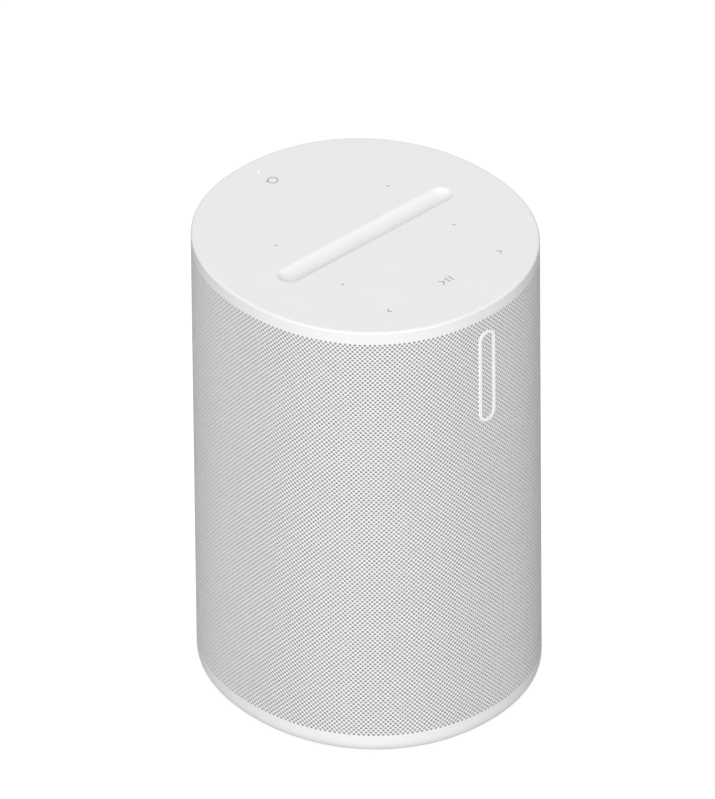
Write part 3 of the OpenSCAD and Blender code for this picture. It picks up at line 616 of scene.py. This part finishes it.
def in_patch(cells, columns, rows):
    column = (cells[:, 0] + LATTICE.columns // 2) % LATTICE.columns - LATTICE.columns // 2
    return (np.abs(column) < columns) & (cells[:, 1] < rows)


def sleeve_patch():
    """The part of the wall around the rear panel's opening, with holes only where they clear it."""
    columns, rows = patch_reach()
    column, row = np.meshgrid(np.arange(-columns + 1, columns), np.arange(0, rows))
    cells = np.column_stack([column.ravel(), row.ravel()])
    cells = cells[cells.sum(axis=1) % 2 == 1]
    outline, opening = rear_opening(PANEL_GAP)

    def clearance(places):
        """Distance of wall places from the opening's edge; the back is flat enough to use x for it."""
        x = PLAN.point(places[:, 0], 0.0, 0.0)[:, 0]
        return outline.outside(np.column_stack([x, places[:, 1]])) - PANEL_GAP

    edges = set()
    for c, r in cells.tolist():
        ring = [(c + 1, r), (c, r + 1), (c - 1, r)]
        if r > 0:
            ring.append((c, r - 1))
        for k, start in enumerate(ring):
            edge = (start, ring[(k + 1) % len(ring)])
            if edge[::-1] in edges:
                edges.remove(edge[::-1])
            else:
                edges.add(edge)
    corner_set = sorted({(c + a, r + b) for c, r in cells.tolist()
                         for a, b in ((1, 0), (0, 1), (-1, 0), (0, -1)) if r + b >= 0})
    corner_places = LATTICE.place(np.array(corner_set))
    solid = clearance(corner_places) > 0.15
    index = {corner_set[k]: n for n, k in enumerate(np.flatnonzero(solid))}
    points = [corner_places[solid]]
    links = [(index[a], index[b]) for a, b in sorted(edges)]
    total = len(index)
    links += loop_edges(len(opening), total)
    points.append(opening)
    total += len(opening)
    middles = LATTICE.place(cells[cells[:, 1] > 0])
    drilled = middles[clearance(middles) > HOLE_R + PLAIN_BORDER]
    for middle in drilled:
        points.append(middle + LATTICE.rim)
        links += loop_edges(HOLE_SIDES, total)
        total += HOLE_SIDES
    drilled_cells = {tuple(cell) for cell in LATTICE.cell_of(drilled).tolist()}
    cell_set = {tuple(cell) for cell in cells.tolist()}
    turn = 2 * math.pi * (np.arange(HOLE_SIDES) + 0.5) / HOLE_SIDES
    facing = np.column_stack([np.cos(turn), np.sin(turn)])
    apothem = HOLE_R * math.cos(math.pi / HOLE_SIDES)

    def keep(places):
        own = LATTICE.cell_of(places)
        away = places - LATTICE.place(own)
        in_rim = (away @ facing.T).max(axis=1) < apothem
        names = [tuple(cell) for cell in own.tolist()]
        wanted = np.array([name in cell_set for name in names])
        open_hole = np.array([name in drilled_cells for name in names]) & in_rim
        above = places[:, 1] > LATTICE.low
        return wanted & above & ~open_hole & ~inside_loop(places, opening)

    flat, triangles = triangulate(np.concatenate(points), links, keep)
    return sheet_solid("sleeve_rear_patch", flat, triangles, 0.0, SHEET)


def sleeve_top_band():
    profile = [(0, LATTICE.high), (0, SLEEVE_TOP_Z), (SHEET, SLEEVE_TOP_Z), (SHEET, LATTICE.high)]
    return ring_solid("sleeve_top_band", profile, LATTICE.columns // 2)


def sleeve_bottom_roll():
    """The plain band under the holes, and the edge that rolls under the body."""
    turns = [math.pi / 2 * k / 10 for k in range(11)]
    low = FOOT_Z

    def arc(radius, inset):
        return [(inset + radius * (1 - math.cos(a)), low + inset + radius * (1 - math.sin(a))) for a in turns]

    outer = [(0, LATTICE.low)] + arc(ROLL_R, 0) + [(ROLL_LIP, low)]
    inner = [(SHEET, LATTICE.low)] + arc(ROLL_R - SHEET, SHEET) + [(ROLL_LIP, low + SHEET)]
    return ring_solid("sleeve_bottom_roll", outer + inner[::-1], LATTICE.columns // 2)


def sleeve_cloth():
    """The acoustic cloth behind the holes, open around the rear panel."""
    outline, opening = rear_opening(CLOTH_MARGIN)
    low = LATTICE.low - CLOTH_OVERLAP
    high = LATTICE.high + CLOTH_OVERLAP
    half = PLAN.length / 2
    across = np.linspace(-half, half, 2 * round(half / CLOTH_GRID) + 1)
    up = np.linspace(low, high, round((high - low) / CLOTH_GRID) + 1)
    grid = np.stack(np.meshgrid(across, up), axis=-1).reshape(-1, 2)
    x = PLAN.point(grid[:, 0], 0.0, 0.0)[:, 0]
    at_back = np.abs(grid[:, 0]) < half / 2
    clear = outline.outside(np.column_stack([x, grid[:, 1]])) > CLOTH_MARGIN + 0.5
    grid = grid[~at_back | clear]
    rim = np.array([(-half, low), (half, low), (half, high), (-half, high)])
    links = loop_edges(4) + loop_edges(len(opening), 4)

    def keep(middles):
        return ~inside_loop(middles, opening) & inside_loop(middles, rim)

    flat, triangles = triangulate(np.concatenate([rim, opening, grid]), links, keep)
    inset = SHEET + CLOTH_GAP
    return sheet_solid("acoustic_cloth", flat, triangles, inset, inset + CLOTH_T)


# ---------------------------------------------------------------- touch top

def touch_cover():
    """The one-piece touch cover: a flat face with a round edge, a finger trough and microphone holes."""
    half = TROUGH_W / 2
    bar_r = (half ** 2 + TROUGH_DEPTH ** 2) / (2 * TROUGH_DEPTH)
    slope = math.asin(half / bar_r)
    lip_r = TROUGH_LIP / math.tan(slope / 2)
    lip = [(TROUGH_LIP * (1 + FLAT_MARGIN), 0.0)]
    for k in range(5):
        angle = slope * k / 4
        lip.append((TROUGH_LIP - lip_r * math.sin(angle), lip_r * (1 - math.cos(angle))))
    bowl_start = slope - TROUGH_LIP / bar_r
    bowl = []
    for k in range(1, 15):
        angle = bowl_start * (1 - k / 15)
        bowl.append((bar_r * math.sin(angle) - half, bar_r * math.cos(angle) - bar_r + TROUGH_DEPTH))
    trough = Stadium((0, 0), TROUGH_L, TROUGH_W, half, steps=16)
    mics = [circle((x, y), MIC_R) for x in (-MIC_X, MIC_X) for y in (-MIC_Y, MIC_Y)]
    light = circle((0, LIGHT_Y), LIGHT_R)
    skirt_inset = SHEET + SKIRT_GAP
    rim = round_edge(TOP_EDGE_R, TOP_EDGE_R - MARK_T, steps=8)
    rim += [(skirt_inset, TOP_EDGE_R), (skirt_inset, COVER_T)]
    return plate("touch_cover_shell", on_top, PlanOutline(0.0), COVER_T, TOP_EDGE_R, holes=mics + [light],
                 dishes=[(trough, lip + bowl)], hole_edge=0.08, rim=rim)


def chevron(tip, size, facing):
    """An open arrow with two straight arms at 45 degrees; facing is 1 for +X and -1 for -X."""
    thick = MARK_LINE * math.sqrt(2)
    outer = [(0, 0), (-size, size), (-size - thick / 2, size - thick / 2), (-thick, 0)]
    rows = outer + [(x, -y) for x, y in outer[-2:0:-1]]
    return Polygon([(tip[0] + facing * x, tip[1] + facing * y) for x, y in rows])


def touch_marks():
    """The printed marks: previous, play and pause, next, and a speech bubble."""
    build = Build()

    def add_print(outline, holes=()):
        add_plate(build, lambda points, depth: on_top(points, depth - MARK_T), outline, MARK_T, 0,
                  holes=holes)

    add_print(chevron((0.1, MARK_Y), 1.7, 1))
    for x in (1.3, 3.1):
        add_print(Stadium((x, MARK_Y), MARK_LINE, 3.2, MARK_LINE / 3, steps=3))
    add_print(chevron((SKIP_X + 0.6, MARK_Y), 1.3, 1))
    add_print(chevron((-SKIP_X - 0.6, MARK_Y), 1.3, -1))
    add_print(circle((0, TALK_Y), 2.1), [circle((0, TALK_Y), 2.1 - MARK_LINE)])
    add_print(Polygon([(-1.7, TALK_Y + 0.9), (-2.7, TALK_Y + 1.5), (-2.05, TALK_Y + 0.3)]))
    return build.finish("touch_marks")


# ---------------------------------------------------------------- badge, rear panel, foot

def front_badge():
    """A plain upright loop that stands a little proud of the sleeve."""
    low, high = box_mm("front_badge")
    width, height = high[0] - low[0], high[2] - low[2]
    centre = (0, (low[2] + high[2]) / 2)
    proud = SLEEVE_LOW[1] - low[1]
    loop = Stadium(centre, width, height, width / 2, steps=12)
    inner = Stadium(centre, width - 2 * BADGE_LINE, height - 2 * BADGE_LINE, width / 2 - BADGE_LINE, steps=12)
    return plate("badge_loop", lambda points, depth: on_front(points, depth - proud), loop,
                 proud + BADGE_ROOT, BADGE_EDGE, holes=[inner])


def rear_plate():
    """The rear panel, with openings for the inlet, the port, the switch and the button."""
    outline, _ = rear_opening()
    width, height, radius = INLET_OPENING
    inlet = Stadium((0, INLET_CENTRE_Z), width, height, radius, side_steps=PORT_SIDE_STEPS)
    usb_low, usb_high = box_mm("usb_c_port")
    usb_height = usb_high[2] - usb_low[2] + 2 * USB_CLEARANCE
    usb = Stadium((0, (usb_low[2] + usb_high[2]) / 2), usb_high[0] - usb_low[0] + 2 * USB_CLEARANCE,
                  usb_height, usb_height / 2, side_steps=PORT_SIDE_STEPS)
    knob_low, knob_high = box_mm("mic_switch_slider")
    travel = joint_range("mic_switch_slide")[1]
    slot = Stadium(((knob_low[0] + knob_high[0] + travel) / 2, (knob_low[2] + knob_high[2]) / 2),
                   knob_high[0] - knob_low[0] + travel + 2 * SLOT_CLEARANCE,
                   knob_high[2] - knob_low[2] + 2 * SLOT_CLEARANCE, SLOT_CORNER_R,
                   side_steps=PORT_SIDE_STEPS)
    cap_low, cap_high = box_mm("pairing_button")
    button = circle((0, (cap_low[2] + cap_high[2]) / 2), BUTTON_R + BUTTON_GAP, steps=12)
    return plate("rear_cover_plate", on_back, outline, PANEL_T, PANEL_EDGE, holes=[inlet, usb, slot, button],
                 spacing=1.8, hole_edge=0.25)


def joint_range(name):
    """The limits of a sliding joint in millimetres."""
    joint = next(j for j in frame["joints"] if j["name"] == name)
    return [limit / MM for limit in joint["range_m"]]


def foot():
    """The soft ring that the speaker stands on."""
    turns = [math.pi / 2 * k / 5 for k in range(6)]
    outer = [(FOOT_INSET + FOOT_EDGE * (1 - math.sin(a)), FOOT_EDGE * (1 - math.cos(a))) for a in turns]
    inner = FOOT_INSET + FOOT_WIDTH
    profile = outer + [(FOOT_INSET, FOOT_Z), (inner, FOOT_Z), (inner, 0)]
    return ring_solid("foot_pad", profile, LATTICE.columns // 2)


def lathe(name, axis_x, axis_z, profile, steps=48):
    """A solid turned about an axis along Y; profile is a list of (radius, y) pairs from end to end."""
    turn = 2 * math.pi * np.arange(steps) / steps
    rings = []
    for radius, y in profile:
        rings.append(np.column_stack([axis_x + radius * np.cos(turn), np.full(steps, y),
                                      axis_z + radius * np.sin(turn)]))
    build = Build()
    build.strip(rings)
    fan = np.column_stack([np.zeros(steps - 2, int), np.arange(1, steps - 1), np.arange(2, steps)])
    build.face(rings[0], fan)
    build.face(rings[-1], fan[:, ::-1])
    return build.finish(name)


def button_cap():
    """The pairing button: a stem, a flange and a shallow dished cap with a round edge."""
    low, high = box_mm("pairing_button")
    face = high[1]
    flange_high = SLEEVE_HIGH[1] - PANEL_T - BUTTON_FLANGE_GAP
    flange_low = flange_high - BUTTON_FLANGE_T
    profile = [(BUTTON_STEM_R, low[1]), (BUTTON_STEM_R, flange_low), (BUTTON_FLANGE_R, flange_low),
               (BUTTON_FLANGE_R, flange_high), (BUTTON_R, flange_high)]
    for k in range(6):
        angle = math.pi / 2 * k / 5
        profile.append((BUTTON_R - BUTTON_EDGE * (1 - math.cos(angle)),
                        face - BUTTON_EDGE * (1 - math.sin(angle))))
    flat_r = BUTTON_R - BUTTON_EDGE
    for k in range(1, 10):
        radius = flat_r * (1 - k / 9.5)
        profile.append((radius, face - BUTTON_DISH * (1 - (radius / flat_r) ** 2)))
    return lathe("pairing_button_cap", 0, (low[2] + high[2]) / 2, profile)


# ---------------------------------------------------------------- materials

def material(name):
    """A new material with its Principled shader and an object-space coordinate in millimetres."""
    mat = bpy.data.materials.new(name)
    mat.use_nodes = True
    nodes = mat.node_tree.nodes
    shader = nodes["Principled BSDF"]
    place = nodes.new("ShaderNodeTexCoord")
    scaled = nodes.new("ShaderNodeMapping")
    scaled.inputs["Scale"].default_value = (1 / MM,) * 3
    mat.node_tree.links.new(place.outputs["Object"], scaled.inputs["Vector"])
    return mat, shader, scaled.outputs["Vector"]


def plain(name, colour, rough):
    """One even colour without grain, for the inside of holes that are too small to show a grain; there its grey,
    darker than the white sheet, is a painted shade in place of the shade deep in the holes.
    """
    mat, shader, _ = material(name)
    shader.inputs["Base Color"].default_value = (*colour, 1)
    shader.inputs["Roughness"].default_value = rough
    shader.inputs["Specular IOR Level"].default_value = 0.0
    return mat


def noise(mat, place, size, detail=2.0, stretch=(1, 1, 1)):
    """Noise whose features are about size millimetres across."""
    nodes, links = mat.node_tree.nodes, mat.node_tree.links
    scaled = nodes.new("ShaderNodeMapping")
    scaled.inputs["Scale"].default_value = [s / size for s in stretch]
    links.new(place, scaled.inputs["Vector"])
    node = nodes.new("ShaderNodeTexNoise")
    node.inputs["Scale"].default_value = 1.0
    node.inputs["Detail"].default_value = detail
    links.new(scaled.outputs["Vector"], node.inputs["Vector"])
    return node.outputs["Fac"]


def spread(mat, factor, low, high, start=0.35, end=0.65):
    """Maps a noise to values between low and high."""
    nodes, links = mat.node_tree.nodes, mat.node_tree.links
    node = nodes.new("ShaderNodeMapRange")
    node.inputs["From Min"].default_value = start
    node.inputs["From Max"].default_value = end
    node.inputs["To Min"].default_value = low
    node.inputs["To Max"].default_value = high
    links.new(factor, node.inputs["Value"])
    return node.outputs["Result"]


def blend_colours(mat, factor, dark, light, start=0.35, end=0.65):
    """A ramp between two colours."""
    nodes, links = mat.node_tree.nodes, mat.node_tree.links
    ramp = nodes.new("ShaderNodeValToRGB")
    ramp.color_ramp.elements[0].position = start
    ramp.color_ramp.elements[1].position = end
    ramp.color_ramp.elements[0].color = (*dark, 1)
    ramp.color_ramp.elements[1].color = (*light, 1)
    links.new(factor, ramp.inputs["Fac"])
    return ramp.outputs["Color"]


def bump(mat, shader, height, strength, distance):
    """Relief of a height map; distance is its depth in millimetres."""
    nodes, links = mat.node_tree.nodes, mat.node_tree.links
    node = nodes.new("ShaderNodeBump")
    node.inputs["Strength"].default_value = strength
    node.inputs["Distance"].default_value = distance * MM
    links.new(height, node.inputs["Height"])
    links.new(node.outputs["Normal"], shader.inputs["Normal"])


def toned(colour, factor):
    return tuple(min(1.0, c * factor) for c in colour)


def surfaced(name, colour, rough, grain, relief, tone=0.03, rough_swing=0.06, metallic=0.0,
             stretch=(1, 1, 1), tone_size=18.0, specular=0.5):
    """A surface with a broad drift of tone, fine grain in its roughness, and relief of the same grain."""
    mat, shader, place = material(name)
    links = mat.node_tree.links
    drift = noise(mat, place, tone_size, 3.0, stretch)
    links.new(blend_colours(mat, drift, toned(colour, 1 - tone), toned(colour, 1 + tone)),
              shader.inputs["Base Color"])
    fine = noise(mat, place, grain, 3.0, stretch)
    links.new(spread(mat, fine, rough - rough_swing, rough + rough_swing), shader.inputs["Roughness"])
    shader.inputs["Metallic"].default_value = metallic
    shader.inputs["Specular IOR Level"].default_value = specular
    bump(mat, shader, fine, 0.5, relief)
    return mat


def woven(name, colour, thread, rough=0.85, tone=0.25):
    """Plain weave: two sets of threads that pass over and under each other."""
    mat, shader, place = material(name)
    nodes, links = mat.node_tree.nodes, mat.node_tree.links
    waves = []
    for turn in (math.pi / 4, -math.pi / 4):
        turned = nodes.new("ShaderNodeMapping")
        turned.inputs["Rotation"].default_value = (turn, turn, 0)
        turned.inputs["Scale"].default_value = (1 / thread,) * 3
        links.new(place, turned.inputs["Vector"])
        wave = nodes.new("ShaderNodeTexWave")
        wave.inputs["Scale"].default_value = 0.5
        wave.inputs["Distortion"].default_value = 0.4
        links.new(turned.outputs["Vector"], wave.inputs["Vector"])
        waves.append(wave.outputs["Fac"])
    mixed = nodes.new("ShaderNodeMath")
    mixed.operation = "MULTIPLY"
    links.new(waves[0], mixed.inputs[0])
    links.new(waves[1], mixed.inputs[1])
    threads = blend_colours(mat, mixed.outputs["Value"], toned(colour, 1 - tone), toned(colour, 1 + tone),
                            start=0, end=0.8)
    links.new(threads, shader.inputs["Base Color"])
    shader.inputs["Roughness"].default_value = rough
    bump(mat, shader, mixed.outputs["Value"], 0.6, thread * 0.4)
    return mat


def circuit_board(name, colour):
    """Solder mask over faint copper tracks."""
    mat, shader, place = material(name)
    nodes, links = mat.node_tree.nodes, mat.node_tree.links
    tracks = nodes.new("ShaderNodeTexBrick")
    tracks.inputs["Scale"].default_value = 0.12
    tracks.inputs["Mortar Size"].default_value = 0.03
    tracks.inputs["Color1"].default_value = (*colour, 1)
    tracks.inputs["Color2"].default_value = (*toned(colour, 0.85), 1)
    tracks.inputs["Mortar"].default_value = (*toned(colour, 1.6), 1)
    links.new(place, tracks.inputs["Vector"])
    links.new(tracks.outputs["Color"], shader.inputs["Base Color"])
    links.new(spread(mat, noise(mat, place, 2.0), 0.3, 0.42), shader.inputs["Roughness"])
    bump(mat, shader, tracks.outputs["Fac"], 0.3, 0.03)
    return mat


def make_material(slot, kind, colour):
    """The material of one of the record's slots."""
    special = {
        "cover_white": lambda: surfaced(slot, (0.80, 0.80, 0.80), rough=0.55, grain=0.35, relief=0.008,
                                        tone=0.006, rough_swing=0.03, specular=0.3),
        "sleeve_white": lambda: surfaced(slot, (0.80, 0.80, 0.80), rough=0.5, grain=0.5, relief=0.01,
                                         tone=0.008, rough_swing=0.05, specular=0.15),
        "badge_white": lambda: surfaced(slot, (0.93, 0.93, 0.93), rough=0.3, grain=0.6, relief=0.003,
                                        tone=0.01, rough_swing=0.03),
        "grille_cloth": lambda: woven(slot, (0.47, 0.47, 0.48), thread=0.35),
        "board_green": lambda: circuit_board(slot, colour),
        "spider_cloth": lambda: woven(slot, colour, thread=0.7),
        "dome_cloth": lambda: woven(slot, colour, thread=0.4),
        "foam_grey": lambda: surfaced(slot, colour, rough=0.95, grain=0.8, relief=0.35, tone=0.15),
        "cone_paper": lambda: surfaced(slot, colour, rough=0.85, grain=0.6, relief=0.05, tone=0.12),
    }
    by_kind = {
        "matte_plastic": lambda: surfaced(slot, colour, rough=0.55, grain=0.4, relief=0.012, tone=0.05),
        "gloss_plastic": lambda: surfaced(slot, colour, rough=0.22, grain=0.8, relief=0.003, tone=0.03,
                                          rough_swing=0.04),
        "painted_metal": lambda: surfaced(slot, colour, rough=0.45, grain=0.5, relief=0.01, tone=0.04),
        "fabric": lambda: woven(slot, colour, thread=0.5),
        "rubber": lambda: surfaced(slot, colour, rough=0.75, grain=0.5, relief=0.02, tone=0.08,
                                   rough_swing=0.08),
        "brass": lambda: surfaced(slot, colour, rough=0.3, grain=0.3, relief=0.004, tone=0.06,
                                  rough_swing=0.08, metallic=1.0),
        "brushed_steel": lambda: surfaced(slot, colour, rough=0.35, grain=0.15, relief=0.004, tone=0.05,
                                          rough_swing=0.1, metallic=1.0, stretch=(1, 1, 12)),
        "cast_iron": lambda: surfaced(slot, colour, rough=0.6, grain=0.6, relief=0.03, tone=0.1,
                                      rough_swing=0.1),
        "aluminium": lambda: surfaced(slot, colour, rough=0.4, grain=0.2, relief=0.005, tone=0.05,
                                      rough_swing=0.1, metallic=1.0, stretch=(1, 1, 10)),
        "chrome": lambda: surfaced(slot, colour, rough=0.18, grain=0.6, relief=0.001, tone=0.02,
                                   rough_swing=0.04, metallic=1.0),
    }
    return (special.get(slot) or by_kind[kind])()


def dress(piece, slot, *replaced, body="housing", look=None):
    """Gives a new piece the material of a slot, or the given look, and its body, and hides the CAD nodes that it
    replaces.
    """
    piece.data.materials.append(look or MATERIALS[slot])
    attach(piece, body)
    if replaced:
        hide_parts(*replaced)


# ---------------------------------------------------------------- room

def direction(azimuth, elevation):
    """Unit vector from the object towards a place; azimuth 0 is straight in front, along -Y."""
    a, e = math.radians(azimuth), math.radians(elevation)
    return Vector((math.sin(a) * math.cos(e), -math.cos(a) * math.cos(e), math.sin(e)))


def add_camera(low, high):
    middle = (Vector(low) + Vector(high)) / 2
    back = direction(VIEW_AZIMUTH, VIEW_ELEVATION)
    a = math.radians(VIEW_AZIMUTH)
    right = Vector((math.cos(a), math.sin(a), 0))
    up = back.cross(right)
    where = middle + (back * VIEW_DISTANCE + right * VIEW_ASIDE + up * VIEW_ABOVE) * MM
    roll = math.radians(VIEW_ROLL)
    tilted_right = math.cos(roll) * right - math.sin(roll) * up
    tilted_up = math.sin(roll) * right + math.cos(roll) * up
    data = bpy.data.cameras.new("camera")
    data.lens = VIEW_LENS
    data.sensor_width = 36.0
    data.clip_end = 100.0
    camera = bpy.data.objects.new("camera", data)
    camera.matrix_world = Matrix.Translation(where) @ Matrix(
        (tilted_right, tilted_up, back)).transposed().to_4x4()
    bpy.context.scene.collection.objects.link(camera)
    bpy.context.scene.camera = camera


def add_lamp(name, azimuth, elevation, distance, size, power):
    """A square soft light that looks at the object; distance and size are in metres."""
    data = bpy.data.lights.new(name, "AREA")
    data.shape = "SQUARE"
    data.size = size
    data.energy = power
    lamp = bpy.data.objects.new(name, data)
    towards = direction(azimuth, elevation)
    lamp.location = towards * distance + Vector((0, 0, LAMP_AIM))
    lamp.rotation_euler = towards.to_track_quat("Z", "Y").to_euler()
    bpy.context.scene.collection.objects.link(lamp)


def add_room():
    """A pale floor, a background that the camera sees as plain white, and soft lamps."""
    half = 40.0
    mesh = bpy.data.meshes.new("floor")
    corners = [(-half, -half, 0), (half, -half, 0), (half, half, 0), (-half, half, 0)]
    mesh.from_pydata(corners, [], [(0, 1, 2, 3)])
    floor = bpy.data.objects.new("floor", mesh)
    bpy.context.scene.collection.objects.link(floor)
    mat = bpy.data.materials.new("floor_white")
    mat.use_nodes = True
    shader = mat.node_tree.nodes["Principled BSDF"]
    shader.inputs["Base Color"].default_value = (0.35, 0.35, 0.35, 1)
    shader.inputs["Roughness"].default_value = 1.0
    shader.inputs["Specular IOR Level"].default_value = 0.0
    shader.inputs["Emission Color"].default_value = (1, 1, 1, 1)
    shader.inputs["Emission Strength"].default_value = FLOOR_GLOW
    mesh.materials.append(mat)
    floor.visible_diffuse = False      # it glows to read as white paper, so it must not light the speaker
    floor.visible_glossy = False

    world = bpy.data.worlds.new("studio")
    bpy.context.scene.world = world
    world.use_nodes = True
    nodes, links = world.node_tree.nodes, world.node_tree.links
    nodes.clear()
    out = nodes.new("ShaderNodeOutputWorld")
    mix = nodes.new("ShaderNodeMixShader")
    ray = nodes.new("ShaderNodeLightPath")
    dim = nodes.new("ShaderNodeBackground")
    dim.inputs["Color"].default_value = (1, 1, 1, 1)
    dim.inputs["Strength"].default_value = ROOM_LIGHT
    white = nodes.new("ShaderNodeBackground")
    white.inputs["Color"].default_value = (1, 1, 1, 1)
    white.inputs["Strength"].default_value = 1.0
    links.new(ray.outputs["Is Camera Ray"], mix.inputs["Fac"])
    links.new(dim.outputs["Background"], mix.inputs[1])
    links.new(white.outputs["Background"], mix.inputs[2])
    links.new(mix.outputs["Shader"], out.inputs["Surface"])

    add_lamp("key_lamp", azimuth=-47, elevation=20, distance=3.0, size=1.6, power=69)
    add_lamp("top_lamp", azimuth=-48, elevation=85, distance=3.0, size=2.4, power=18)
    add_lamp("back_lamp", azimuth=137, elevation=50, distance=3.0, size=1.6, power=20)
    bpy.context.scene.view_settings.view_transform = "Standard"


# ---------------------------------------------------------------- the speaker

add_camera(*CAD_BOUNDS)
add_room()
MATERIALS = {m["slot"]: make_material(m["slot"], m["class"], m["base_color"]) for m in RECORD["materials"]}
for part in RECORD["subparts"]:
    node = frame["nodes"][part["node"]]
    node.data.materials.clear()
    node.data.materials.append(MATERIALS[part["material_slot"]])

# The hole walls are the same white sheet; this darker grey on them is painted shade for the shade inside the
# holes.
hole_wall_painted_shade = plain("hole_wall_painted_shade", (0.54, 0.54, 0.54), 0.9)
for piece in sleeve_panels() + [sleeve_patch()]:
    dress(piece, "sleeve_white", "grille_sleeve")
    piece.data.materials.append(hole_wall_painted_shade)
for piece in (sleeve_top_band(), sleeve_bottom_roll()):
    dress(piece, "sleeve_white", "grille_sleeve")
dress(sleeve_cloth(), "grille_cloth", "grille_cloth")
dress(touch_cover(), "cover_white", "top_cover")
touch_print = surfaced("touch_print", (0.42, 0.42, 0.43), rough=0.6, grain=0.4, relief=0.002, tone=0.03)
dress(touch_marks(), "cover_white", look=touch_print)
dress(front_badge(), "badge_white", "front_badge")
dress(rear_plate(), "cover_white", "rear_panel")
dress(foot(), "foot_rubber", "foot_ring")
dress(button_cap(), "cover_white", "pairing_button", body="button")
